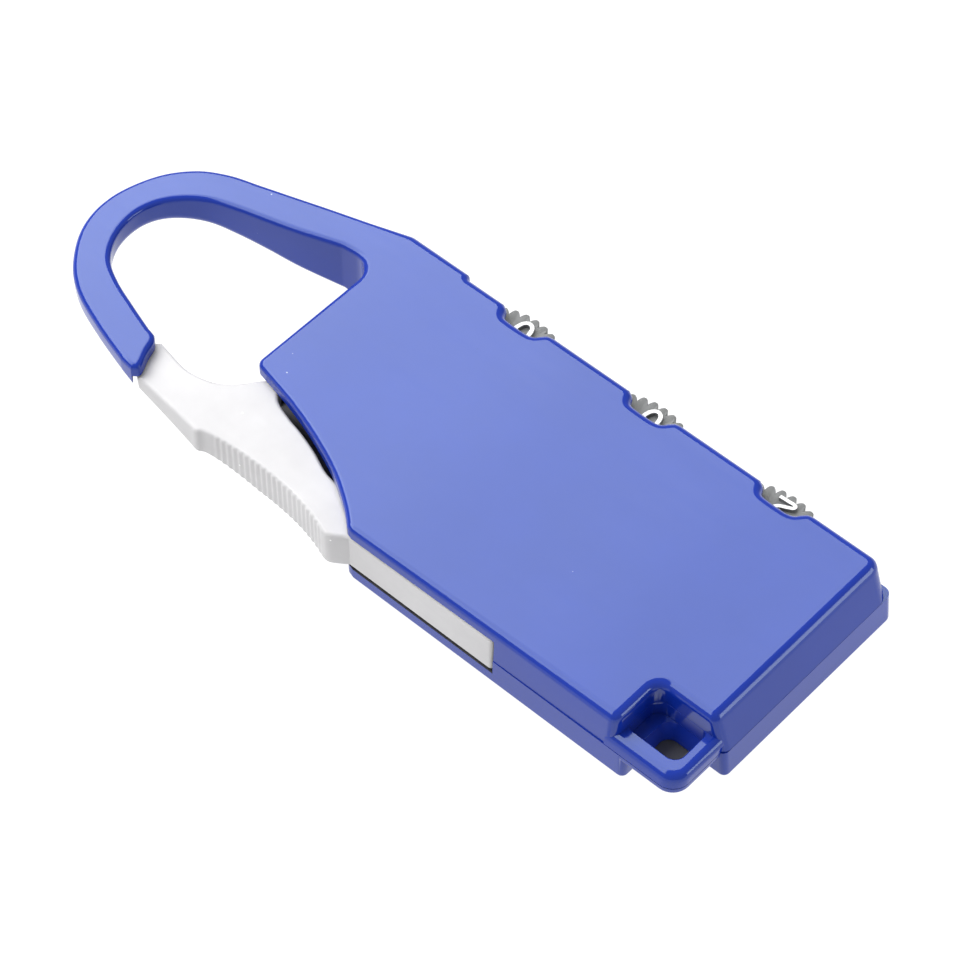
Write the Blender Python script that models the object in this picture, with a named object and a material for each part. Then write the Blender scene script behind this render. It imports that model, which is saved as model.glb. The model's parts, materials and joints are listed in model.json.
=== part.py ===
"""Hook-shaped three-dial combination padlock, lying on its back.

Lengths are in millimetres in this file and are scaled to metres when a mesh is made.
+X is the dial side, +Y the hook end, +Z the front face. Z = 0 is the back face.
"""

import math

import bmesh
import bpy
from mathutils import Matrix, Vector

MM = 0.001

# Body
SIDE_LEFT = -15.1
SIDE_RIGHT = 15.4
DIAL_SIDE = 14.6
BODY_TOP = 29.9
# The end face leans: it reaches furthest at the back face and draws in towards the front
BACK_END = -30.45
FRONT_END = -30.1
LEAN_FROM_Y = -24.0
FRONT_LEAN = (3.5, 6.85, 1.05)
BACK_LEAN = (0.0, 3.5, 0.35)
THICKNESS = 7.8
PARTING_Z = 3.5
PARTING_GAP = 0.04
STEP = 0.02
EDGE_ROUND = 0.55
BACK_ROUND = 0.5
CORNER_R = 1.5
BACK_CORNER_R = 1.0
FRONT_PLATE_Z = 6.8
FLOOR_Z = 1.0
CAVITY = [(-13.9, -20.9), (-7.4, -20.9), (-7.4, -28.6), (13.3, -28.6), (13.3, 28.7), (-5.3, 28.7),
          (-6.3, 24.4), (-7.9, 20.0), (-9.8, 15.5), (-11.8, 12.1), (-13.9, 9.4)]

# Finger scoop beside the gate, from the shoulder to the left side
SCOOP = [(-6.9, 28.4), (-7.9, 24.2), (-9.3, 19.9), (-11.1, 15.7), (-13.2, 12.3), (-14.9, 10.2)]
SCOOP_END_Y = 9.5

# Hook stations from root to tip: inner x, inner y, outer x, outer y, underside z
HOOK = [
    (9.6, 34.0, 13.8, 34.0, 1.1),
    (8.0, 38.6, 12.4, 38.5, 1.9),
    (7.0, 42.0, 11.2, 42.2, 2.6),
    (6.1, 45.2, 10.1, 45.6, 3.1),
    (5.0, 48.0, 9.0, 48.9, 3.6),
    (3.3, 50.1, 7.1, 51.9, 4.1),
    (1.2, 51.5, 3.8, 54.3, 4.4),
    (-1.3, 52.0, -1.0, 55.6, 4.5),
    (-4.2, 51.4, -5.4, 54.9, 4.6),
    (-6.7, 49.7, -9.2, 52.4, 4.7),
    (-8.2, 47.1, -11.7, 49.2, 4.7),
    (-9.4, 43.7, -13.5, 44.6, 4.8),
    (-10.4, 40.6, -14.9, 39.8, 4.9),
]
HOOK_TIP = [(-15.05, 38.5), (-14.4, 38.0), (-12.6, 38.6), (-11.2, 39.1), (-10.6, 39.7)]
HOOK_ROOT_Y = 30.05
HOOK_ROOT_Z = 0.9
HOOK_STEPS = 3

# Gate
GATE_TOP_Z = 6.2
GATE_BOTTOM_Z = 1.8
GATE_EDGE = 0.35
GATE_PIVOT = (-12.9, -5.7)
GATE_BORE_R = 0.95
GATE_PIN_R = 0.9
LEG_INNER_X = -11.2
LEG_OUTER_X = -15.05
LEG_END_Y = -7.85
SLOT_END_Y = -8.0
SLOT_TOP_Z = 6.35
SLOT_BOTTOM_Z = 1.6
GATE_OUTER = [(-14.7, 37.9), (-15.1, 33.8), (-15.5, 30.4), (-15.6, 29.3), (-15.1, 28.3), (-14.7, 25.0),
              (-14.6, 21.0), (-14.9, 17.2), (-15.5, 14.3), (-16.1, 12.4), (-16.1, 11.5), (-15.4, 10.4)]
GATE_INNER = [(-11.2, 14.0), (-10.9, 16.6), (-9.8, 19.3), (-9.0, 21.8), (-8.5, 23.9), (-7.7, 26.0),
              (-6.0, 27.6), (-6.9, 28.9), (-8.3, 30.0), (-9.3, 30.9), (-10.1, 32.1), (-10.6, 33.6),
              (-10.8, 35.4), (-10.4, 37.8)]
GATE_NOSE = [(-10.1, 39.3), (-10.6, 39.9), (-11.5, 40.1), (-12.8, 39.8), (-14.0, 38.9)]
NOSE_POCKET = [(-9.0, 40.6), (-11.5, 40.6), (-13.0, 40.3), (-14.4, 39.3), (-17.0, 38.6), (-17.0, 36.0),
               (-9.0, 36.0)]
GATE_TAPER = [(21.0, 1.6), (42.0, 5.1), (42.0, 0.0), (21.0, 0.0)]
GATE_ROOM = [(-17.5, SLOT_END_Y), (-12.5, SLOT_END_Y), (-12.5, 9.0), (-8.6, 14.0), (-5.2, 22.0), (-4.4, 27.5),
             (2.4, 27.5), (2.4, 31.0), (-17.5, 31.0)]

# Lanyard loop in the corner beside the left side and the end
POCKET_X = -8.9
POCKET_Y = -22.4
LOOP_TOP_Z = 5.2
LOOP_BOTTOM_Z = 2.6
HOLE_X = (-13.2, -8.9)
HOLE_Y = (-28.1, -22.4)
BACK_CUT_Y = -23.7
LOOP_END = -29.65
HOLE_R = 1.1
LOOP_ROUND = 0.4

# Dials
DIAL_X = 8.75
DIAL_Y = (14.4, -1.6, -17.6)
DIALS = [(DIAL_X, y) for y in DIAL_Y]
DIAL_TURN = (0.8, -1.4, 5.0)
DIAL_SHOWN = (0, 0, 2)
WHEEL_R = 7.65
WHEEL_ROOT_R = 6.98
WHEEL_TEETH = 40
WHEEL_Z = (4.2, 6.0)
WHEEL_ROOM_R = 7.88
POST_R = 1.2
BORE_R = 1.26
POST_Z = (0.55, 7.1)
POST_HOLE_Z = (0.5, 7.15)
DIGIT_RAISE = 0.45
DIGIT_R = 5.2
DIGIT_SIZE = 3.9
NOTCH = [(0.0, -3.4), (-0.15, -2.7), (-0.65, -2.15), (-1.15, -1.7), (-1.35, -0.9), (-1.35, 1.3),
         (-1.15, 2.0), (-0.4, 2.5), (0.0, 3.1)]
CODE_R = 4.4
CODE_Z = (1.6, 2.8)
CODE_HUB_R = 2.2
CODE_HUB_Z = 3.2
CODE_NOTCH = (2.4, 1.1)
FLOOR_BOSS_R = 2.0
FLOOR_BOSS_Z = 1.5
WAVE_R = (2.0, 3.2)
WAVE_Z = (3.42, 3.95)
WAVE_T = 0.18
WAVE_STEPS = 30

# Locking bar
BAR_Z = (1.7, 2.7)
BAR_X = (0.3, 1.9)
BAR_Y = (-19.4, 16.2)
FINGER_X = 4.05
FINGER_HALF = 0.75
ARM_Y = (3.5, 5.1)
ARM_X = -10.9

# Leaf spring that clicks on the dial teeth
STRIP_X = 0.12
STRIP_Y = (-25.2, 20.8)
STRIP_Z = (4.5, 5.9)
STRIP_T = 0.22
CREST = 0.55
CREST_HALF = 2.2

# Springs
WIRE_R = 0.17
GATE_SPRING = ((-10.95, 0.0, 4.0), (1, 0, 0), 4.0, 1.25, 5)
BAR_SPRING_Y = (6.4, -9.6)
BAR_SPRING_X = 2.1
BAR_SPRING_LENGTH = 4.7
BAR_SPRING_R = 0.5
BAR_SPRING_Z = 2.2
SPRING_TURNS = 5
RESET_SPRING_R = 1.2
RESET_AT = (-4.6, -13.6)
RESET_SPRING_Z = 1.95
RESET_SPRING_LENGTH = 4.7
RESET_PROFILE = [(1.2, 0.35), (1.2, 1.2), (2.0, 1.25), (2.0, 1.75), (0.7, 1.8), (0.7, 4.4)]

# Rivets
RIVETS = [(11.8, 26.5), (4.8, 26.5), (11.8, -27.0), (-5.5, -26.4), (-12.0, -17.6)]
RIVET_BORE_R = 0.86
RIVET_PROFILE = [(1.2, 0.1), (1.4, 0.25), (1.4, 0.55), (0.8, 0.57), (0.8, 6.2)]
RIVET_SINK = (1.5, 0.6)
RIVET_BORE_END_Z = 6.3
BOSS_R = 1.7
BOSS_TOP_Z = 7.0
BOSS_SINK = 0.3

# Blocks that hold the leaf spring, stop the coil springs and guide the bar: low and high corners
STRIP_HOLDERS = [((-0.7, 20.0, 4.4), (1.2, 21.6, 7.0)), ((-0.7, -26.0, 4.4), (1.2, -24.4, 7.0))]
STRIP_SLOTS = [((0.0, 19.0, 4.0), (0.5, 21.0, 6.2)), ((0.0, -25.4, 4.0), (0.5, -24.0, 6.2))]
FLOOR_BLOCKS = [((-6.7, -1.9, 0.7), (-5.6, 1.9, 5.4)), ((7.0, 5.4, 0.7), (8.0, 7.4, 3.0)),
                ((7.0, -10.6, 0.7), (8.0, -8.6, 3.0)), ((-0.4, 16.6, 0.7), (4.0, 17.3, 2.6)),
                ((-0.4, -20.5, 0.7), (4.0, -19.8, 2.6))]

# Reach of the helper solids past the lock
UNDER = -1.0
FAR = 40.0

ROUND_STEPS = 4
CIRCLE = 20

MATERIALS = {
    "blue_paint": ((0.10, 0.14, 0.62), 0.0, 0.3),
    "satin_zinc": ((0.80, 0.80, 0.80), 1.0, 0.35),
    "dial_grey": ((0.20, 0.21, 0.21), 0.0, 0.5),
    "steel": ((0.60, 0.60, 0.60), 1.0, 0.3),
    "brass": ((0.72, 0.55, 0.25), 1.0, 0.35),
}


def clear_scene():
    for obj in list(bpy.data.objects):
        bpy.data.objects.remove(obj, do_unlink=True)


def make_materials():
    made = {}
    for name, (color, metallic, roughness) in MATERIALS.items():
        material = bpy.data.materials.new(name)
        material.use_nodes = True
        shader = material.node_tree.nodes["Principled BSDF"]
        shader.inputs["Base Color"].default_value = (*color, 1.0)
        shader.inputs["Metallic"].default_value = metallic
        shader.inputs["Roughness"].default_value = roughness
        made[name] = material
    return made


def add_object(name, points, faces, origin=(0.0, 0.0, 0.0)):
    """One closed mesh, with its points given in millimetres in the shared frame."""
    mesh = bpy.data.meshes.new(name)
    base = Vector(origin)
    mesh.from_pydata([(Vector(point) - base) * MM for point in points], [], faces)
    edit = bmesh.new()
    edit.from_mesh(mesh)
    bmesh.ops.recalc_face_normals(edit, faces=edit.faces)
    edit.to_mesh(mesh)
    edit.free()
    obj = bpy.data.objects.new(name, mesh)
    obj.location = base * MM
    bpy.context.scene.collection.objects.link(obj)
    return obj


def finish(obj, material, smooth=False):
    obj.data.materials.clear()
    obj.data.materials.append(material)
    for face in obj.data.polygons:
        face.use_smooth = smooth
    return obj


def as_cutter(obj):
    obj.hide_render = True
    obj.display_type = "WIRE"
    return obj


def combine(target, other, operation):
    modifier = target.modifiers.new(other.name, "BOOLEAN")
    modifier.object = as_cutter(other)
    modifier.operation = operation
    modifier.solver = "EXACT"


def stacked(name, loops, origin=(0.0, 0.0, 0.0)):
    """A closed solid through loops of equal length, capped at both ends."""
    count = len(loops[0])
    points = [point for loop in loops for point in loop]
    faces = [tuple(range(count)), tuple(range((len(loops) - 1) * count, len(loops) * count))]
    for level in range(len(loops) - 1):
        low = level * count
        for i in range(count):
            j = (i + 1) % count
            faces.append((low + i, low + j, low + count + j, low + count + i))
    return add_object(name, points, faces, origin)


def inset(outline, distance):
    """The outline moved inward by a distance, for a counterclockwise outline."""
    moved = []
    count = len(outline)
    for i in range(count):
        before = Vector(outline[i - 1])
        here = Vector(outline[i])
        after = Vector(outline[(i + 1) % count])
        first = (here - before).normalized()
        second = (after - here).normalized()
        normal = Vector((-first.y - second.y, first.x + second.x)).normalized()
        spread = max(0.6, normal.dot(Vector((-first.y, first.x))))
        moved.append(here + normal * (distance / spread))
    return moved


def flat(outline, z):
    return [(point[0], point[1], z) for point in outline]


def prism(name, outline, low, high, top_round=0.0, bottom_round=0.0, origin=(0.0, 0.0, 0.0)):
    """An upright solid of constant outline, with optional rounded top and bottom edges."""
    loops = []
    if bottom_round:
        loops.append(flat(inset(outline, bottom_round), low))
        loops.append(flat(inset(outline, bottom_round * 0.3), low + bottom_round * 0.3))
        loops.append(flat(outline, low + bottom_round))
    else:
        loops.append(flat(outline, low))
    if top_round:
        loops.append(flat(outline, high - top_round))
        loops.append(flat(inset(outline, top_round * 0.3), high - top_round * 0.3))
        loops.append(flat(inset(outline, top_round), high))
    else:
        loops.append(flat(outline, high))
    return stacked(name, loops, origin)


def box(name, low, high):
    outline = [(low[0], low[1]), (high[0], low[1]), (high[0], high[1]), (low[0], high[1])]
    return prism(name, outline, low[2], high[2])


def circle(x, y, radius, count=CIRCLE):
    turns = [2 * math.pi * i / count for i in range(count)]
    return [(x + radius * math.cos(turn), y + radius * math.sin(turn)) for turn in turns]


def disc(name, x, y, radius, low, high, count=CIRCLE):
    return prism(name, circle(x, y, radius, count), low, high)


def discs(name, places, radius, low, high, count=CIRCLE):
    return [disc(f"{name}_{i}", x, y, radius, low, high, count) for i, (x, y) in enumerate(places)]


def several(name, solids):
    """Separate solids joined into one helper mesh."""
    edit = bmesh.new()
    for solid in solids:
        mesh = solid.data.copy()
        mesh.transform(solid.matrix_basis)
        edit.from_mesh(mesh)
        bpy.data.meshes.remove(mesh)
        bpy.data.objects.remove(solid, do_unlink=True)
    mesh = bpy.data.meshes.new(name)
    edit.to_mesh(mesh)
    edit.free()
    obj = bpy.data.objects.new(name, mesh)
    bpy.context.scene.collection.objects.link(obj)
    return obj


def smooth_line(knots, steps):
    """A Catmull-Rom line through knots of any dimension, ends included."""
    line = []
    last = len(knots) - 1
    for i in range(last):
        ends = [knots[max(i - 1, 0)], knots[i], knots[i + 1], knots[min(i + 2, last)]]
        for step in range(steps):
            t = step / steps
            weights = (
                -0.5 * t + t * t - 0.5 * t ** 3,
                1 - 2.5 * t * t + 1.5 * t ** 3,
                0.5 * t + 2 * t * t - 1.5 * t ** 3,
                -0.5 * t * t + 0.5 * t ** 3,
            )
            line.append(tuple(sum(w * k[a] for w, k in zip(weights, ends)) for a in range(len(knots[0]))))
    line.append(tuple(knots[last]))
    return line


def corner(before, here, after, radius, steps=ROUND_STEPS):
    """Points that round one corner of an outline."""
    here = Vector(here)
    to_before = (Vector(before) - here).normalized()
    to_after = (Vector(after) - here).normalized()
    half = math.acos(max(-1.0, min(1.0, to_before.dot(to_after)))) / 2
    reach = radius / math.tan(half)
    start = here + to_before * reach
    end = here + to_after * reach
    centre = here + (to_before + to_after).normalized() * (radius / math.sin(half))
    sweep = (start - centre).angle_signed(end - centre)
    arm = start - centre
    points = []
    for step in range(steps + 1):
        turn = -sweep * step / steps
        points.append((
            centre.x + arm.x * math.cos(turn) - arm.y * math.sin(turn),
            centre.y + arm.x * math.sin(turn) + arm.y * math.cos(turn),
        ))
    return points


def rounded(knots):
    """An outline from (x, y, corner radius) knots; a radius of 0 keeps the corner."""
    outline = []
    count = len(knots)
    for i, (x, y, radius) in enumerate(knots):
        if radius:
            outline += corner(knots[i - 1][:2], (x, y), knots[(i + 1) % count][:2], radius)
        else:
            outline.append((x, y))
    return outline


def hook_lines():
    stations = smooth_line(HOOK, HOOK_STEPS)
    inner = [(s[0], s[1]) for s in stations]
    outer = [(s[2], s[3]) for s in stations]
    return stations, inner, outer


def scoop_line():
    return smooth_line(SCOOP, 3) + [(SIDE_LEFT, SCOOP_END_Y)]


def dial_side_line():
    """The dial side of the front shell from the end towards the hook, with a scoop at each dial."""
    line = []
    for y in reversed(DIAL_Y):
        line += [(DIAL_SIDE + dx, y + dy) for dx, dy in smooth_line(NOTCH, 2)]
    return line


def front_outline():
    _, inner, outer = hook_lines()
    lower = rounded([(SIDE_LEFT, 0.0, 0), (SIDE_LEFT, POCKET_Y, 0.7), (POCKET_X, POCKET_Y, 1.2),
                     (POCKET_X, FRONT_END, 0.7), (DIAL_SIDE, FRONT_END, CORNER_R), (DIAL_SIDE, -25.0, 0)])
    step_out = rounded([(DIAL_SIDE, 20.0, 0), (DIAL_SIDE, 22.0, 0.3), (SIDE_RIGHT, 22.5, 0.4),
                        (SIDE_RIGHT, BODY_TOP, 2.0), (outer[0][0], outer[0][1], 0)])
    root = rounded([(inner[0][0], inner[0][1], 0), (10.0, BODY_TOP + 0.1, 2.3), (0.0, BODY_TOP + 0.1, 0)])
    shoulder = rounded([(0.0, BODY_TOP + 0.1, 0), (-6.55, BODY_TOP + 0.1, 0.9), (-6.9, 28.4, 0)])
    outline = lower[1:-1] + dial_side_line() + step_out[1:-1] + outer + smooth_line(HOOK_TIP, 2)
    outline += list(reversed(inner)) + root[1:-1] + shoulder[1:-1] + scoop_line()
    return outline


def back_outline():
    lower = rounded([(SIDE_LEFT, 0.0, 0), (SIDE_LEFT, BACK_CUT_Y, 0.7), (POCKET_X, BACK_CUT_Y, 1.0),
                     (POCKET_X, BACK_END, 0.7), (SIDE_RIGHT, BACK_END, BACK_CORNER_R),
                     (SIDE_RIGHT, BODY_TOP, 0.6), (-6.55, BODY_TOP, 0.9), (-6.9, 28.4, 0)])
    return lower[1:-1] + scoop_line()


def lean_end(solid, end, low, high, amount):
    """Leans the end face of a solid inwards, by an amount reached between two heights."""
    for vertex in solid.data.vertices:
        beyond = (LEAN_FROM_Y - vertex.co.y / MM) / (LEAN_FROM_Y - end)
        rise = min(1.0, (vertex.co.z / MM - low) / (high - low))
        vertex.co.y += max(0.0, beyond) * rise * amount * MM


def loop_solid(name, low, high, top_round, bottom_round):
    """Half of the U-shaped lanyard loop, before its hole is cut."""
    reach = 1.1
    left = SIDE_LEFT + STEP
    end = LOOP_END
    outline = rounded([(left, POCKET_Y + reach, 0), (left, end, 1.6), (POCKET_X + reach, end, 0),
                       (POCKET_X + reach, POCKET_Y + reach, 0)])
    return prism(name, outline, low, high, top_round, bottom_round)


def hole_cutter(name, top_y):
    right = HOLE_X[1] - STEP
    top = top_y - STEP
    outline = rounded([(HOLE_X[0], HOLE_Y[0], HOLE_R), (right, HOLE_Y[0], 0.5), (right, top, 1.4),
                       (HOLE_X[0], top, 0.9)])
    return prism(name, outline, UNDER, THICKNESS - UNDER)


def make_front_shell(material):
    low = PARTING_Z + PARTING_GAP + STEP
    shell = prism("front_shell", front_outline(), HOOK_ROOT_Z, THICKNESS, EDGE_ROUND)
    lean_end(shell, FRONT_END, *FRONT_LEAN)
    below = box("front_below", (-FAR, -FAR, UNDER), (FAR, HOOK_ROOT_Y, PARTING_Z + PARTING_GAP))
    combine(shell, below, "DIFFERENCE")
    combine(shell, hook_underside(), "DIFFERENCE")
    combine(shell, prism("front_cavity", CAVITY, UNDER, FRONT_PLATE_Z), "DIFFERENCE")
    combine(shell, loop_solid("front_loop", low, LOOP_TOP_Z, LOOP_ROUND, 0.0), "UNION")
    room = discs("wheel_room", DIALS, WHEEL_ROOM_R, UNDER, FRONT_PLATE_Z + STEP, 2 * CIRCLE)
    combine(shell, several("wheel_rooms", room), "DIFFERENCE")
    combine(shell, prism("front_gate_room", GATE_ROOM, SLOT_BOTTOM_Z, SLOT_TOP_Z), "DIFFERENCE")
    combine(shell, prism("nose_pocket", NOSE_POCKET, UNDER, SLOT_TOP_Z), "DIFFERENCE")
    bosses = discs("front_boss", RIVETS, BOSS_R, low, BOSS_TOP_Z)
    bosses.append(disc("front_pivot_boss", *GATE_PIVOT, BOSS_R, SLOT_TOP_Z - STEP, BOSS_TOP_Z))
    bosses += [box(f"strip_holder_{i}", *ends) for i, ends in enumerate(STRIP_HOLDERS)]
    combine(shell, several("front_bosses", bosses), "UNION")
    holes = discs("front_rivet_hole", RIVETS, RIVET_BORE_R, UNDER, RIVET_BORE_END_Z)
    holes += discs("front_post_hole", DIALS, BORE_R, PARTING_Z, POST_HOLE_Z[1])
    holes.append(disc("front_pin_hole", *GATE_PIVOT, GATE_BORE_R, PARTING_Z, POST_HOLE_Z[1]))
    holes += [box(f"strip_slot_{i}", *ends) for i, ends in enumerate(STRIP_SLOTS)]
    holes.append(hole_cutter("front_loop_hole", HOLE_Y[1]))
    combine(shell, several("front_holes", holes), "DIFFERENCE")
    return finish(shell, material)


def hook_underside():
    """Everything below the hook's tapering underside, wider than the hook on both sides."""
    spare = 1.5
    stations = hook_lines()[0]
    rings = [[(7.0, HOOK_ROOT_Y - 0.5, -1.0), (18.0, HOOK_ROOT_Y - 0.5, -1.0),
              (18.0, HOOK_ROOT_Y - 0.5, HOOK_ROOT_Z + 0.02), (7.0, HOOK_ROOT_Y - 0.5, HOOK_ROOT_Z + 0.02)]]
    for before, after in zip(stations, stations[1:]):
        x, y, far_x, far_y, z = [(a + b) / 2 for a, b in zip(before, after)]
        across = Vector((far_x - x, far_y - y)).normalized() * spare
        near = (x - across.x, y - across.y)
        far = (far_x + across.x, far_y + across.y)
        rings.append([(*near, -1.0), (*far, -1.0), (*far, z), (*near, z)])
    z = HOOK[-1][4]
    rings.append([(-9.0, 37.0, -1.0), (-17.0, 36.0, -1.0), (-17.0, 36.0, z), (-9.0, 37.0, z)])
    return stacked("hook_underside", rings)


def make_back_shell(material):
    sunk = FLOOR_Z - BOSS_SINK
    shell = prism("back_shell", back_outline(), 0.0, PARTING_Z, 0.0, BACK_ROUND)
    lean_end(shell, BACK_END, *BACK_LEAN)
    combine(shell, prism("back_cavity", CAVITY, FLOOR_Z, THICKNESS), "DIFFERENCE")
    combine(shell, loop_solid("back_loop", LOOP_BOTTOM_Z, PARTING_Z - STEP, 0.0, LOOP_ROUND), "UNION")
    combine(shell, prism("back_gate_room", GATE_ROOM, SLOT_BOTTOM_Z, THICKNESS), "DIFFERENCE")
    bosses = discs("back_boss", RIVETS, BOSS_R, sunk, PARTING_Z - STEP)
    bosses += discs("back_post_boss", DIALS, FLOOR_BOSS_R, sunk, FLOOR_BOSS_Z)
    bosses.append(disc("back_pivot_boss", *GATE_PIVOT, BOSS_R, sunk, SLOT_BOTTOM_Z + STEP))
    bosses += [box(f"floor_block_{i}", *ends) for i, ends in enumerate(FLOOR_BLOCKS)]
    combine(shell, several("back_bosses", bosses), "UNION")
    holes = discs("back_rivet_hole", RIVETS, RIVET_BORE_R, UNDER, THICKNESS)
    combine(shell, several("back_rivet_holes", holes), "DIFFERENCE")
    holes = discs("back_rivet_sink", RIVETS, RIVET_SINK[0], UNDER, RIVET_SINK[1])
    holes += discs("back_post_hole", DIALS, BORE_R, POST_HOLE_Z[0], THICKNESS)
    holes.append(disc("back_pin_hole", *GATE_PIVOT, GATE_BORE_R, POST_HOLE_Z[0], THICKNESS))
    holes.append(disc("back_reset_hole", *RESET_AT, BORE_R, UNDER, PARTING_Z))
    holes.append(hole_cutter("back_loop_hole", BACK_CUT_Y))
    combine(shell, several("back_holes", holes), "DIFFERENCE")
    return finish(shell, material)


def make_gate(material):
    inner = smooth_line(GATE_INNER, 2)
    outer = smooth_line(GATE_OUTER, 2)
    leg = rounded([(LEG_OUTER_X, 9.9, 0), (LEG_OUTER_X, LEG_END_Y, 0.3), (LEG_INNER_X, LEG_END_Y, 2.2),
                   (LEG_INNER_X, 0.0, 0)])
    outline = outer + leg[:-1] + inner + smooth_line(GATE_NOSE, 2)
    origin = (*GATE_PIVOT, GATE_BOTTOM_Z)
    gate = prism("gate", outline, GATE_BOTTOM_Z, GATE_TOP_Z, GATE_EDGE, GATE_EDGE, origin)
    taper = [[(x, y, z) for y, z in GATE_TAPER] for x in (-FAR, 0.0)]
    combine(gate, stacked("gate_taper", taper), "DIFFERENCE")
    combine(gate, disc("gate_bore", *GATE_PIVOT, GATE_BORE_R, 0.0, THICKNESS), "DIFFERENCE")
    return finish(gate, material)


def turned_pin(name, x, y, profile, material):
    """A solid round piece from (radius, z) steps, from its low end to its high end."""
    loops = [flat(circle(x, y, radius), z) for radius, z in profile]
    return finish(stacked(name, loops, (x, y, profile[0][1])), material, True)


def make_digits(name, y, shown):
    """Ten raised figures around one wheel, with their feet outward and the shown figure at its window."""
    edit = bmesh.new()
    for figure in range(10):
        text = bpy.data.curves.new(f"{name}_{figure}", "FONT")
        text.body = str(figure)
        text.size = DIGIT_SIZE
        text.align_x = "CENTER"
        text.align_y = "CENTER"
        text.extrude = DIGIT_RAISE / 2 + 0.1
        text.resolution_u = 1
        text.space_character = 1.0
        holder = bpy.data.objects.new(f"{name}_{figure}", text)
        mesh = bpy.data.meshes.new_from_object(holder)
        turn = Matrix.Rotation(2 * math.pi * (figure - shown) / 10, 4, "Z")
        place = Matrix.Translation((DIGIT_R, 0.0, 0.0)) @ Matrix.Rotation(math.pi / 2, 4, "Z")
        mesh.transform(turn @ place)
        edit.from_mesh(mesh)
        bpy.data.objects.remove(holder, do_unlink=True)
        bpy.data.curves.remove(text)
        bpy.data.meshes.remove(mesh)
    bmesh.ops.remove_doubles(edit, verts=edit.verts, dist=0.002)
    mesh = bpy.data.meshes.new(name)
    middle = WHEEL_Z[1] + DIGIT_RAISE / 2 - 0.1
    edit.transform(Matrix.Scale(MM, 4) @ Matrix.Translation((0.0, 0.0, middle)))
    bmesh.ops.recalc_face_normals(edit, faces=edit.faces)
    edit.to_mesh(mesh)
    edit.free()
    obj = bpy.data.objects.new(name, mesh)
    obj.location = (DIAL_X * MM, y * MM, 0.0)
    bpy.context.scene.collection.objects.link(obj)
    return obj


def make_number_wheel(index, y, material):
    outline = []
    for tooth in range(WHEEL_TEETH):
        for part, radius in ((-0.34, WHEEL_ROOT_R), (-0.14, WHEEL_R), (0.14, WHEEL_R), (0.34, WHEEL_ROOT_R)):
            turn = 2 * math.pi * (tooth + part) / WHEEL_TEETH
            outline.append((DIAL_X + radius * math.cos(turn), y + radius * math.sin(turn)))
    name = f"number_wheel_{index}"
    wheel = prism(name, outline, WHEEL_Z[0], WHEEL_Z[1], origin=(DIAL_X, y, WHEEL_Z[0]))
    digits = make_digits(f"{name}_digits", y, DIAL_SHOWN[index - 1])
    combine(wheel, digits, "UNION")
    combine(wheel, disc(f"{name}_bore", DIAL_X, y, BORE_R, 0.0, THICKNESS), "DIFFERENCE")
    turn = math.radians(DIAL_TURN[index - 1])
    wheel.rotation_euler = (0.0, 0.0, turn)
    digits.rotation_euler = (0.0, 0.0, turn)
    return finish(wheel, material)


def make_code_disc(index, y, material):
    name = f"code_disc_{index}"
    code = stacked(name, [flat(circle(DIAL_X, y, radius, 40), z) for radius, z in
                          ((CODE_R, CODE_Z[0]), (CODE_R, CODE_Z[1]), (CODE_HUB_R, CODE_Z[1] + 0.02),
                           (CODE_HUB_R, CODE_HUB_Z))], (DIAL_X, y, CODE_Z[0]))
    depth, half = CODE_NOTCH
    start = DIAL_X - CODE_R
    combine(code, box(f"{name}_notch", (start - 1.0, y - half, 0.0), (start + depth - 0.2, y + half, 5.0)),
            "DIFFERENCE")
    combine(code, disc(f"{name}_bore", DIAL_X, y, BORE_R, 0.0, THICKNESS), "DIFFERENCE")
    return finish(code, material)


def make_wave_washer(index, y, material):
    points = []
    faces = []
    low, high = WAVE_Z
    for step in range(WAVE_STEPS):
        turn = 2 * math.pi * step / WAVE_STEPS
        lift = low + (high - low - WAVE_T) * (0.5 - 0.5 * math.cos(3 * turn))
        top = lift + WAVE_T
        for radius, z in ((WAVE_R[0], lift), (WAVE_R[1], lift), (WAVE_R[1], top), (WAVE_R[0], top)):
            points.append((DIAL_X + radius * math.cos(turn), y + radius * math.sin(turn), z))
    for step in range(WAVE_STEPS):
        after = (step + 1) % WAVE_STEPS
        for i in range(4):
            j = (i + 1) % 4
            faces.append((step * 4 + i, after * 4 + i, after * 4 + j, step * 4 + j))
    return finish(add_object(f"wave_washer_{index}", points, faces, (DIAL_X, y, low)), material)


def make_coil(name, start, axis, length, radius, turns, material):
    """A coil spring of round wire along an axis from its start."""
    along = Vector(axis).normalized()
    side = along.orthogonal().normalized()
    other = along.cross(side)
    centre = Vector(start)
    steps = turns * 10
    loops = []
    for step in range(steps + 1):
        turn = 2 * math.pi * turns * step / steps
        out = side * math.cos(turn) + other * math.sin(turn)
        place = centre + along * (WIRE_R + (length - 2 * WIRE_R) * step / steps) + out * radius
        loop = []
        for i in range(6):
            spin = 2 * math.pi * i / 6
            loop.append(tuple(place + out * (WIRE_R * math.cos(spin)) + along * (WIRE_R * math.sin(spin))))
        loops.append(loop)
    return finish(stacked(name, loops, start), material, True)


def make_locking_bar(material):
    fingers = []
    for y in reversed(DIAL_Y):
        fingers += [(BAR_X[1], y - FINGER_HALF), (FINGER_X, y - FINGER_HALF), (FINGER_X, y + FINGER_HALF),
                    (BAR_X[1], y + FINGER_HALF)]
    outline = [(BAR_X[0], BAR_Y[0]), (BAR_X[1], BAR_Y[0])] + fingers
    outline += [(BAR_X[1], BAR_Y[1]), (BAR_X[0], BAR_Y[1])]
    outline += [(BAR_X[0], ARM_Y[1]), (ARM_X, ARM_Y[1]), (ARM_X, ARM_Y[0]), (BAR_X[0], ARM_Y[0])]
    origin = (BAR_X[0], ARM_Y[0], BAR_Z[0])
    return finish(prism("locking_bar", outline, *BAR_Z, origin=origin), material)


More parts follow.
